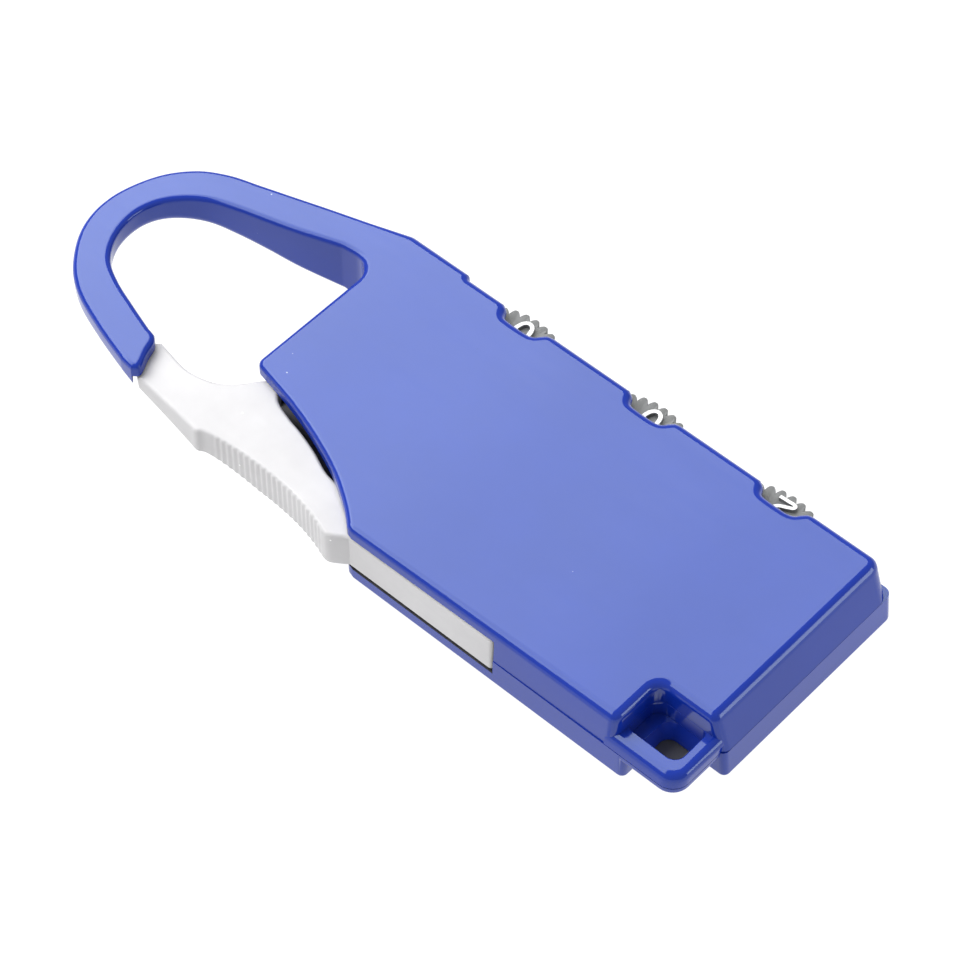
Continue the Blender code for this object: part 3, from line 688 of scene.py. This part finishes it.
def bare_material():
    """Dull bare zinc casting for the rooms inside, darkened to near black as painted shade so the gaps into them
    look shadowed.
    """
    material, nodes, links = new_material("bare_casting_and_painted_shade")
    shader = nodes["Principled BSDF"]
    place = object_place(nodes, links)
    grain = noise_node(nodes, links, place, 1500.0, 5.0, 0.65)
    color = ramp(nodes, links, grain, [(0.3, (0.02, 0.02, 0.024)), (0.7, (0.06, 0.06, 0.065))])
    links.new(color, shader.inputs["Base Color"])
    shader.inputs["Metallic"].default_value = 0.3
    links.new(ramp(nodes, links, grain, [(0.3, 0.5), (0.7, 0.7)]), shader.inputs["Roughness"])
    bumped(nodes, links, shader, grain, 0.02, 0.6)
    return material


def zinc_material():
    """Satin nickel-finished zinc with a fine blasted grain, faint drag lines and a few bright nicks."""
    material, nodes, links = new_material("satin_gate")
    shader = nodes["Principled BSDF"]
    place = object_place(nodes, links)
    grain = noise_node(nodes, links, place, 2600.0, 6.0, 0.6)
    cloud = noise_node(nodes, links, place, 160.0, 4.0)
    color = ramp(nodes, links, cloud, [(0.3, (0.50, 0.495, 0.505)), (0.7, (0.56, 0.555, 0.565))])
    nick = specks(nodes, links, place, 3.4, 0.12)
    color = mixed(nodes, links, nick, color, (0.9, 0.9, 0.9))
    links.new(color, shader.inputs["Base Color"])
    shader.inputs["Metallic"].default_value = 0.0
    drag = noise_node(nodes, links, object_place(nodes, links, (1.0, 0.12, 1.0)), 1400.0, 3.0)
    rough = ramp(nodes, links, drag, [(0.3, 0.36), (0.7, 0.5)])
    links.new(rough, shader.inputs["Roughness"])
    bumped(nodes, links, shader, grain, 0.006, 0.5)
    return material


def dial_material():
    """Mid-grey satin wheel with a fine moulded grain."""
    material, nodes, links = new_material("dial_grey_grain")
    shader = nodes["Principled BSDF"]
    place = object_place(nodes, links)
    grain = noise_node(nodes, links, place, 1900.0, 4.0)
    cloud = noise_node(nodes, links, place, 300.0, 3.0)
    links.new(ramp(nodes, links, cloud, [(0.3, (0.15, 0.155, 0.155)), (0.7, (0.19, 0.195, 0.195))]),
              shader.inputs["Base Color"])
    links.new(ramp(nodes, links, grain, [(0.3, 0.42), (0.7, 0.6)]), shader.inputs["Roughness"])
    bumped(nodes, links, shader, grain, 0.008, 0.5)
    return material


def figure_material():
    """White print on the tops of the raised figures, slightly worn."""
    material, nodes, links = new_material("figure_white")
    shader = nodes["Principled BSDF"]
    place = object_place(nodes, links)
    wear = noise_node(nodes, links, place, 1300.0, 5.0, 0.7)
    links.new(ramp(nodes, links, wear, [(0.25, (0.55, 0.55, 0.55)), (0.42, (0.88, 0.88, 0.88))]),
              shader.inputs["Base Color"])
    links.new(ramp(nodes, links, wear, [(0.3, 0.35), (0.7, 0.5)]), shader.inputs["Roughness"])
    return material


def metal_material(name, dark, light, rough_low, rough_high, grain_scale=1800.0):
    """A turned or drawn metal with fine lines and light tarnish."""
    material, nodes, links = new_material(name)
    shader = nodes["Principled BSDF"]
    place = object_place(nodes, links)
    lines = noise_node(nodes, links, object_place(nodes, links, (1.0, 1.0, 0.15)), grain_scale, 3.0)
    cloud = noise_node(nodes, links, place, 500.0, 5.0, 0.6)
    links.new(ramp(nodes, links, cloud, [(0.3, dark), (0.7, light)]), shader.inputs["Base Color"])
    shader.inputs["Metallic"].default_value = 1.0
    links.new(ramp(nodes, links, lines, [(0.3, rough_low), (0.7, rough_high)]), shader.inputs["Roughness"])
    bumped(nodes, links, shader, lines, 0.004, 0.5)
    return material


def floor_material():
    """Plain pale studio floor, which glows evenly but for a soft-edged patch of painted shadow."""
    material, nodes, links = new_material("studio_floor")
    shader = nodes["Principled BSDF"]
    place = object_place(nodes, links)
    faint = noise_node(nodes, links, place, 6.0, 2.0)
    links.new(ramp(nodes, links, faint, [(0.3, (0.14, 0.14, 0.14)), (0.7, (0.15, 0.15, 0.15))]),
              shader.inputs["Base Color"])
    shader.inputs["Roughness"].default_value = 0.9
    shader.inputs["Specular IOR Level"].default_value = 0.1
    # The glow fades to nothing inside a soft-edged rectangle: a painted shadow under the lanyard hole
    apart = nodes.new("ShaderNodeSeparateXYZ")
    links.new(place, apart.inputs["Vector"])
    outside = []
    for axis, reach in zip("XY", FLOOR_SHADE):
        size = math_node(nodes, links, "ABSOLUTE", apart.outputs[axis])
        rise = nodes.new("ShaderNodeMapRange")
        rise.interpolation_type = "SMOOTHSTEP"
        rise.inputs["From Min"].default_value = (reach - FLOOR_SHADE_EDGE) * MM
        rise.inputs["From Max"].default_value = reach * MM
        links.new(size.outputs[0], rise.inputs["Value"])
        outside.append(rise.outputs[0])
    clear = math_node(nodes, links, "MAXIMUM", *outside)
    glow = math_node(nodes, links, "MULTIPLY", clear.outputs[0])
    glow.inputs[1].default_value = FLOOR_GLOW
    links.new(glow.outputs[0], shader.inputs["Emission Strength"])
    shader.inputs["Emission Color"].default_value = (1.0, 1.0, 1.0, 1.0)
    return material


PAINT = paint_material()
# The bare casting inside the shells is darkened to near black as painted shade
BARE_AND_SHADE = bare_material()
ZINC = zinc_material()
DIAL = dial_material()
WHITE = figure_material()
STEEL = metal_material("drawn_steel", (0.42, 0.42, 0.43), (0.60, 0.60, 0.61), 0.22, 0.38)
BRASS = metal_material("stamped_brass", (0.55, 0.38, 0.14), (0.72, 0.54, 0.24), 0.25, 0.42)


# ---------------------------------------------------------------- shells

def bare_discs(name, places, radius, low, high):
    """One disc at each place, without a material of its own."""
    return [disc(f"{name}_{i}", p.x, p.y, radius, low, high) for i, p in enumerate(places)]


def loop_band(name, low, high, low_round, high_round):
    """Half of the U-shaped lanyard loop, as a solid corner before its hole is cut."""
    left = LEFT + STEP
    top = POCKET_Y + LOOP_REACH
    right = POCKET_X + LOOP_REACH
    outline = rounded([(left, top, 0), (left, LOOP_END, LOOP_CORNER_R), (right, LOOP_END, 0),
                       (right, top, 0)])
    return stacked(name, wall_loops(outline, low, high, low_round, high_round), PAINT)


def hole_cutter(name, top_y, flare_z):
    """The lanyard hole, flared a little below one height, but not against the body."""
    left, right = (HOLE_X[0], HOLE_X[1] - STEP)
    low, top = (HOLE_Y[0], top_y - STEP)
    corners = ((left, low), (right, low), (right, top), (left, top))
    outline = rounded([(x, y, radius) for (x, y), radius in zip(corners, HOLE_CORNERS)])
    flares = []
    for x, y in outline:
        free = min(1.0, (right - x) / HOLE_FLARE_FADE, (top - y) / HOLE_FLARE_FADE)
        flares.append(HOLE_FLARE * max(0.0, free))
    loops = [flat(outline, UNDER)]
    steps = 4
    for step in range(steps + 1):
        turn = math.pi / 2 * step / steps
        ring = inset(outline, [-flare * (1 - math.cos(turn)) for flare in flares])
        loops.append(flat(ring, flare_z - HOLE_FLARE * (1 - math.sin(turn))))
    loops.append(flat(ring, TOP - UNDER))
    return stacked(name, loops, PAINT)


def make_front():
    outline, hook_start = front_outline()
    stations = hook_lines()[0]
    count = len(outline)
    span = len(stations)
    inner_start = hook_start + span + len(smooth_line(HOOK_TIP, TIP_STEPS))
    lows = [ROOT_Z] * count
    rounds = [HIDDEN_ROUND] * count
    for k, station in enumerate(stations):
        for index in (hook_start + k, inner_start + span - 1 - k):
            lows[index] = station[4]
            rounds[index] = station[5]
    for index in range(hook_start + span, inner_start):
        lows[index] = stations[-1][4]
        rounds[index] = TIP_LOW_ROUND
    tops = [EDGE_ROUND] * hook_start + [HOOK_EDGE_ROUND] * (count - hook_start)

    # The underside is one face for each length of the hook, one for its tip and one for the body
    caps = []
    for k in range(span - 1):
        near = inner_start + span - 1 - k
        caps.append((hook_start + k, hook_start + k + 1, near - 1, near))
    caps.append(list(range(hook_start + span - 1, inner_start + 1)))
    caps.append(list(range(inner_start + span - 1, count)) + list(range(0, hook_start + 1)))
    shell = stacked("shell_front", wall_loops(outline, lows, TOP, rounds, tops), PAINT, caps)
    lean_end(shell, FRONT_END, *FRONT_LEAN)
    lean_left(shell, PARTING, TOP)
    low = PARTING + PARTING_GAP
    combine(shell, box("below", (-FAR, -FAR, UNDER), (FAR, ROOT_Y, low), PAINT), "DIFFERENCE")
    combine(shell, prism("cavity", CAVITY, UNDER, PLATE_LOW, BARE_AND_SHADE), "DIFFERENCE")
    loop = loop_band("loop", low + STEP, LOOP_TOP, 0.0, LOOP_ROUND)
    lean_left(loop, PARTING, TOP)
    combine(shell, loop, "UNION")
    rooms = bare_discs("room", POSTS, WHEEL_ROOM_R, UNDER, PLATE_LOW + STEP)
    combine(shell, joined("rooms", rooms, BARE_AND_SHADE), "DIFFERENCE")
    combine(shell, prism("gate_room", GATE_ROOM, SLOT_LOW, SLOT_TOP, BARE_AND_SHADE), "DIFFERENCE")
    combine(shell, prism("nose_pocket", NOSE_POCKET, UNDER, SLOT_TOP, BARE_AND_SHADE), "DIFFERENCE")
    bosses = bare_discs("boss", RIVETS, BOSS_R, low + STEP, BOSS_TOP)
    bosses.append(disc("pivot_boss", PIVOT.x, PIVOT.y, BOSS_R, SLOT_TOP - STEP, BOSS_TOP))
    bosses += [box(f"strip_holder_{i}", *ends) for i, ends in enumerate(STRIP_HOLDERS)]
    combine(shell, joined("bosses", bosses, BARE_AND_SHADE), "UNION")
    holes = bare_discs("rivet_hole", RIVETS, RIVET_HOLE_R, UNDER, RIVET_HOLE_TOP)
    holes += bare_discs("post_hole", POSTS, BORE_R, PARTING, HOLE_TOP)
    holes.append(disc("pin_hole", PIVOT.x, PIVOT.y, PIN_HOLE_R, PARTING, HOLE_TOP))
    holes += [box(f"strip_slot_{i}", *ends) for i, ends in enumerate(STRIP_SLOTS)]
    combine(shell, joined("holes", holes, BARE_AND_SHADE), "DIFFERENCE")
    combine(shell, hole_cutter("loop_hole", HOLE_Y[1], LOOP_TOP + STEP), "DIFFERENCE")
    tidy(shell)
    return shell


def make_back():
    shell = stacked("shell_back", wall_loops(back_outline(), 0.0, PARTING, BACK_ROUND, 0.0), PAINT)
    lean_end(shell, BACK_END, *BACK_LEAN)
    combine(shell, prism("cavity", CAVITY, FLOOR_TOP, TOP, BARE_AND_SHADE), "DIFFERENCE")
    combine(shell, loop_band("loop", LOOP_LOW, PARTING - STEP, LOOP_LOW_ROUND, 0.0), "UNION")
    combine(shell, prism("gate_room", GATE_ROOM, SLOT_LOW, TOP, BARE_AND_SHADE), "DIFFERENCE")
    bosses = bare_discs("boss", RIVETS, BOSS_R, BOSS_ROOT, PARTING - STEP)
    bosses += bare_discs("post_boss", POSTS, POST_BOSS_R, BOSS_ROOT, POST_BOSS_TOP)
    bosses.append(disc("pivot_boss", PIVOT.x, PIVOT.y, BOSS_R, BOSS_ROOT, SLOT_LOW + STEP))
    bosses += [box(f"floor_block_{i}", *ends) for i, ends in enumerate(FLOOR_BLOCKS)]
    combine(shell, joined("bosses", bosses, BARE_AND_SHADE), "UNION")
    rivet_holes = bare_discs("rivet_hole", RIVETS, RIVET_HOLE_R, UNDER, TOP)
    combine(shell, joined("rivet_holes", rivet_holes, BARE_AND_SHADE), "DIFFERENCE")
    holes = bare_discs("sink", RIVETS, RIVET_SINK_R, UNDER, RIVET_SINK_TOP)
    holes.append(disc("reset_hole", RESET.x, RESET.y, RESET_HOLE_R, UNDER, PARTING))
    combine(shell, joined("outer_holes", holes, PAINT), "DIFFERENCE")
    holes = bare_discs("post_hole", POSTS, BORE_R, HOLE_LOW, TOP)
    holes.append(disc("pin_hole", PIVOT.x, PIVOT.y, PIN_HOLE_R, HOLE_LOW, TOP))
    combine(shell, joined("holes", holes, BARE_AND_SHADE), "DIFFERENCE")
    combine(shell, hole_cutter("loop_hole", BACK_CUT_Y, BACK_FLARE_Z), "DIFFERENCE")
    tidy(shell)
    return shell


# ---------------------------------------------------------------- gate

def resampled(line, pitch):
    """The same line with points at an even pitch, ends included."""
    lengths = [0.0]
    for before, after in zip(line, line[1:]):
        lengths.append(lengths[-1] + math.dist(before, after))
    count = max(1, round(lengths[-1] / pitch))
    points = []
    at = 0
    for k in range(count + 1):
        want = lengths[-1] * k / count
        while at < len(line) - 2 and lengths[at + 1] < want:
            at += 1
        share = (want - lengths[at]) / max(1e-9, lengths[at + 1] - lengths[at])
        points.append(tuple(a + (b - a) * min(1.0, share) for a, b in zip(line[at], line[at + 1])))
    return points


def gate_low(y):
    """Height of the gate's underside, which rises towards the nose."""
    (y0, z0), (y1, z1) = TAPER_FROM, TAPER_TO
    return z0 + max(0.0, y - y0) * (z1 - z0) / (y1 - y0)


def rib_depths(line):
    """How far the valleys between the ribs cut in, at each point of the gate's outer line."""
    depths = [0.0]
    travelled = 0.0
    for before, here in zip(line, line[1:]):
        travelled += math.dist(before, here)
        y = here[1]
        fade = min(1.0, max(0.0, (RIB_FROM_Y - y) / RIB_FADE), max(0.0, (y - RIB_TO_Y) / RIB_FADE))
        depths.append(fade * RIB_DEPTH * (0.5 - 0.5 * math.cos(2 * math.pi * travelled / RIB_PITCH)))
    return depths


def make_gate():
    outer = resampled(smooth_line(GATE_OUTER, 8), GATE_PITCH)
    inner = smooth_line(GATE_INNER, 8)
    nose = smooth_line(GATE_NOSE, 6)
    leg = rounded([(LEG_OUT, 9.9, 0), (LEG_OUT, LEG_END, 0.45), (LEG_IN, LEG_END, 2.2), (LEG_IN, 0.0, 0)])
    outline = outer + leg[:-1] + inner + nose
    count = len(outline)
    lows = [gate_low(y) for _, y in outline]
    ribbed = inset(outline, rib_depths(outer) + [0.0] * (count - len(outer)))

    # The ribs are full on the wall, fainter next to the rounded edges and gone at the faces
    plain = wall_loops(outline, lows, GATE_TOP, GATE_LOW_ROUND, GATE_ROUND, GATE_EDGE_STEPS)
    last = len(plain) - 1
    loops = []
    for level, loop in enumerate(plain):
        share = 0.0
        if 1 <= level <= last - 2:
            share = 0.4
        if 2 <= level <= last - 3:
            share = 1.0
        loops.append([
            (p[0] + (r[0] - o[0]) * share, p[1] + (r[1] - o[1]) * share, p[2])
            for p, r, o in zip(loop, ribbed, outline)
        ])
    loops[0] = [(x, y, gate_low(y)) for x, y, _ in loops[0]]

    # The underside is two flat faces, which meet where the gate starts to taper
    outer_side = [i for i in range(len(outer)) if outline[i][1] > TAPER_FROM[0]]
    inner_side = [i for i in range(len(outer) + 2, count) if outline[i][1] > TAPER_FROM[0]]
    split_a = outer_side[-1]
    split_b = inner_side[0]
    caps = [list(range(split_a, split_b + 1)), list(range(split_b, count)) + list(range(0, split_a + 1))]
    gate = stacked("gate_arm", loops, ZINC, caps)
    combine(gate, disc("bore", PIVOT.x, PIVOT.y, PIN_HOLE_R, 0.0, TOP, ZINC), "DIFFERENCE")
    return gate


# ---------------------------------------------------------------- wheels

def tooth_radius(turn):
    """Rounded tips with V-shaped valleys between them."""
    phase = turn * WHEEL_TEETH / (2 * math.pi)
    lift = abs(math.cos(math.pi * phase)) ** TIP_SHARPNESS
    return WHEEL_ROOT_R + (WHEEL_TIP_R - WHEEL_ROOT_R) * min(1.0, lift * TIP_FLAT)


def make_wheel(index, post):
    count = WHEEL_TEETH * POINTS_PER_TOOTH
    turns = [2 * math.pi * i / count for i in range(count)]
    offset = math.radians(DIAL_TURN[index - 1])

    def ring(shrink, z):
        loop = []
        for turn in turns:
            radius = tooth_radius(turn) - shrink
            x = post.x + radius * math.cos(turn + offset)
            y = post.y + radius * math.sin(turn + offset)
            loop.append((x, y, z))
        return loop

    def hub(radius, z):
        return flat(circle(post.x, post.y, radius, count), z)

    edge = WHEEL_EDGE
    loops = [hub(BORE_R, WHEEL_LOW)]
    loops += [hub(radius, WHEEL_LOW + depth) for radius, depth in WHEEL_RECESS]
    loops += [ring(edge, WHEEL_LOW), ring(0.0, WHEEL_LOW + edge), ring(0.0, WHEEL_HIGH - edge)]
    loops += [ring(edge * 0.35, WHEEL_HIGH - edge * 0.35), ring(edge, WHEEL_HIGH)]
    loops += [hub(WHEEL_HUB_R, WHEEL_HIGH), hub(BORE_R, WHEEL_HIGH)]
    points = [point for loop in loops for point in loop]
    faces = []
    for level in range(len(loops)):
        after = (level + 1) % len(loops)
        for i in range(count):
            j = (i + 1) % count
            faces.append((level * count + i, level * count + j, after * count + j, after * count + i))
    wheel = add_mesh(f"wheel_{index}", points, faces, DIAL)
    shade(wheel, 32.0)
    stands_for(wheel, f"number_wheel_{index}", f"wheel_{index}")
    return wheel


def two_mesh(thickness):
    """A figure 2 with a rounded corner, in millimetres."""
    line = smooth_line(TWO, 6)
    left = []
    right = []
    for i, here in enumerate(line):
        before = Vector(line[max(i - 1, 0)])
        after = Vector(line[min(i + 1, len(line) - 1)])
        along = (after - before).normalized()
        left.append((here[0] - along.y * STROKE / 2, here[1] + along.x * STROKE / 2))
        right.append((here[0] + along.y * STROKE / 2, here[1] - along.x * STROKE / 2))
    solid = prism("figure_2", left + list(reversed(right)), -thickness / 2, thickness / 2)
    mesh = solid.data
    bpy.data.objects.remove(solid, do_unlink=True)
    mesh.transform(Matrix.Scale(1 / MM, 4))
    return mesh


def figure_mesh(figure):
    """One figure in millimetres, as thick as it stands out and overlaps the wheel."""
    if figure == 2:
        return two_mesh(FIGURE_RAISE + 2 * FIGURE_OVERLAP)
    text = bpy.data.curves.new(f"figure_{figure}", "FONT")
    text.body = str(figure)
    text.size = FIGURE_SIZE
    text.align_x = "CENTER"
    text.align_y = "CENTER"
    text.extrude = FIGURE_RAISE / 2 + FIGURE_SINK
    text.bevel_depth = FIGURE_BEVEL
    text.offset = -FIGURE_BEVEL
    text.bevel_resolution = 1
    text.resolution_u = 6
    holder = bpy.data.objects.new(f"figure_{figure}", text)
    mesh = bpy.data.meshes.new_from_object(holder)
    bpy.data.objects.remove(holder, do_unlink=True)
    bpy.data.curves.remove(text)
    return mesh


def make_figures(index, post):
    """Ten raised figures round one wheel, with pale tops and grey sides."""
    edit = bmesh.new()
    offset = math.radians(DIAL_TURN[index - 1])
    place = Matrix.Translation((FIGURE_R, 0.0, 0.0)) @ Matrix.Rotation(math.pi / 2, 4, "Z")
    for figure in range(10):
        mesh = figure_mesh(figure)
        turn = 2 * math.pi * (figure - DIAL_SHOWN[index - 1]) / 10 + offset
        mesh.transform(Matrix.Rotation(turn, 4, "Z") @ place)
        edit.from_mesh(mesh)
        bpy.data.meshes.remove(mesh)
    bmesh.ops.remove_doubles(edit, verts=edit.verts, dist=0.002)
    middle = WHEEL_HIGH + FIGURE_RAISE / 2 - FIGURE_OVERLAP
    edit.transform(Matrix.Scale(MM, 4) @ Matrix.Translation((post.x, post.y, middle)))
    bmesh.ops.recalc_face_normals(edit, faces=edit.faces)
    edit.normal_update()
    for face in edit.faces:
        face.material_index = 1 if face.normal.z > 0.5 else 0
    mesh = bpy.data.meshes.new(f"wheel_figures_{index}")
    edit.to_mesh(mesh)
    edit.free()
    mesh.materials.append(DIAL)
    mesh.materials.append(WHITE)
    figures = bpy.data.objects.new(f"wheel_figures_{index}", mesh)
    bpy.context.scene.collection.objects.link(figures)
    shade(figures, 30.0)
    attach(figures, f"wheel_{index}")
    return figures


# ---------------------------------------------------------------- turned pieces

def turned(name, place, profile, material):
    """A round piece from (radius, z) steps, from its low end to its high end."""
    return stacked(name, [flat(circle(place.x, place.y, radius), z) for radius, z in profile], material)


def make_rivets():
    """Five rivets with rounded heads sunk in the back."""
    for i, place in enumerate(RIVETS, 1):
        rivet = turned(f"rivet_pin_{i}", place, RIVET_STEPS, STEEL)
        shade(rivet)
        stands_for(rivet, f"rivet_{i}", "shell")


def make_reset():
    """The recessed plunger, with a dimple for a pin tip and a rounded rim."""
    plunger = turned("reset_button", RESET, RESET_STEPS, STEEL)
    shade(plunger)
    stands_for(plunger, "reset_plunger", "reset")


def dress_frame():
    """Better materials for the frame's own pieces that stay."""
    slots = {row["node"]: row.get("material_slot") for row in frame["record"]["subparts"]}
    for node, obj in frame["nodes"].items():
        if obj.hide_render:
            continue
        material = BRASS if slots.get(node) == "brass" else STEEL
        obj.data.materials.clear()
        obj.data.materials.append(material)


# ---------------------------------------------------------------- studio

def aim(obj, target):
    direction = Vector(target) - obj.location
    obj.rotation_mode = "QUATERNION"
    obj.rotation_quaternion = direction.to_track_quat("-Z", "Y")


def soft_light(name, place, target, width, height, radiance):
    """A rectangular soft light of a given brightness."""
    light = bpy.data.lights.new(name, "AREA")
    light.shape = "RECTANGLE"
    light.size = width
    light.size_y = height
    light.energy = radiance * math.pi * width * height
    obj = bpy.data.objects.new(name, light)
    obj.location = place
    bpy.context.scene.collection.objects.link(obj)
    aim(obj, target)
    return obj


def overhead_light(name, from_y, z, radiance):
    """A panel that faces straight down. All the panels end at the same y."""
    y = (from_y + PANEL_TO_Y) / 2
    soft_light(name, (PANEL_X, y, z), (PANEL_X, y, 0.0), PANEL_WIDTH, PANEL_TO_Y - from_y, radiance)


def make_floor():
    half = FLOOR_HALF / MM
    corners = [(-half, -half, 0.0), (half, -half, 0.0), (half, half, 0.0), (-half, half, 0.0)]
    floor = add_mesh("floor", corners, [(0, 1, 2, 3)], floor_material())
    shade_x, shade_y = FLOOR_SHADE_AT
    floor.location = (shade_x * MM, shade_y * MM, cad_box[0].z - FLOOR_GAP)


def make_world():
    world = bpy.data.worlds.new("studio")
    world.use_nodes = True
    background = world.node_tree.nodes["Background"]
    background.inputs["Color"].default_value = (1.0, 1.0, 1.0, 1.0)
    background.inputs["Strength"].default_value = WORLD_STRENGTH
    bpy.context.scene.world = world


def make_camera():
    data = bpy.data.cameras.new("camera")
    data.sensor_width = CAMERA_SENSOR
    data.lens = CAMERA_LENS
    data.clip_start = 0.01
    data.clip_end = 10.0
    camera = bpy.data.objects.new("camera", data)
    camera.location = CAMERA_AT
    camera.rotation_mode = "QUATERNION"
    camera.rotation_quaternion = Vector(CAMERA_LOOK).to_track_quat("-Z", "Y")
    bpy.context.scene.collection.objects.link(camera)
    bpy.context.scene.camera = camera


def make_studio():
    make_floor()
    overhead_light("overhead", PANEL_FROM_Y, PANEL_Z, PANEL_RADIANCE)
    for step, from_y in enumerate(PANEL_STEPS_FROM_Y):
        z = PANEL_Z + PANEL_STEP_Z * (step + 1)
        overhead_light(f"overhead_step_{step}", from_y, z, PANEL_STEP_RADIANCE)
    soft_light("strip", STRIP_AT, STRIP_AIM, *STRIP_SIZE, STRIP_RADIANCE)
    make_world()
    bpy.context.scene.view_settings.view_transform = "Standard"
    make_camera()


def main():
    front = shade(make_front())
    stands_for(front, "front_shell", "shell")
    back = shade(make_back())
    stands_for(back, "back_shell", "shell")
    gate = shade(make_gate())
    stands_for(gate, "gate", "gate")
    for index, post in enumerate(POSTS, 1):
        make_wheel(index, post)
        make_figures(index, post)
    make_rivets()
    make_reset()
    dress_frame()
    make_studio()


main()
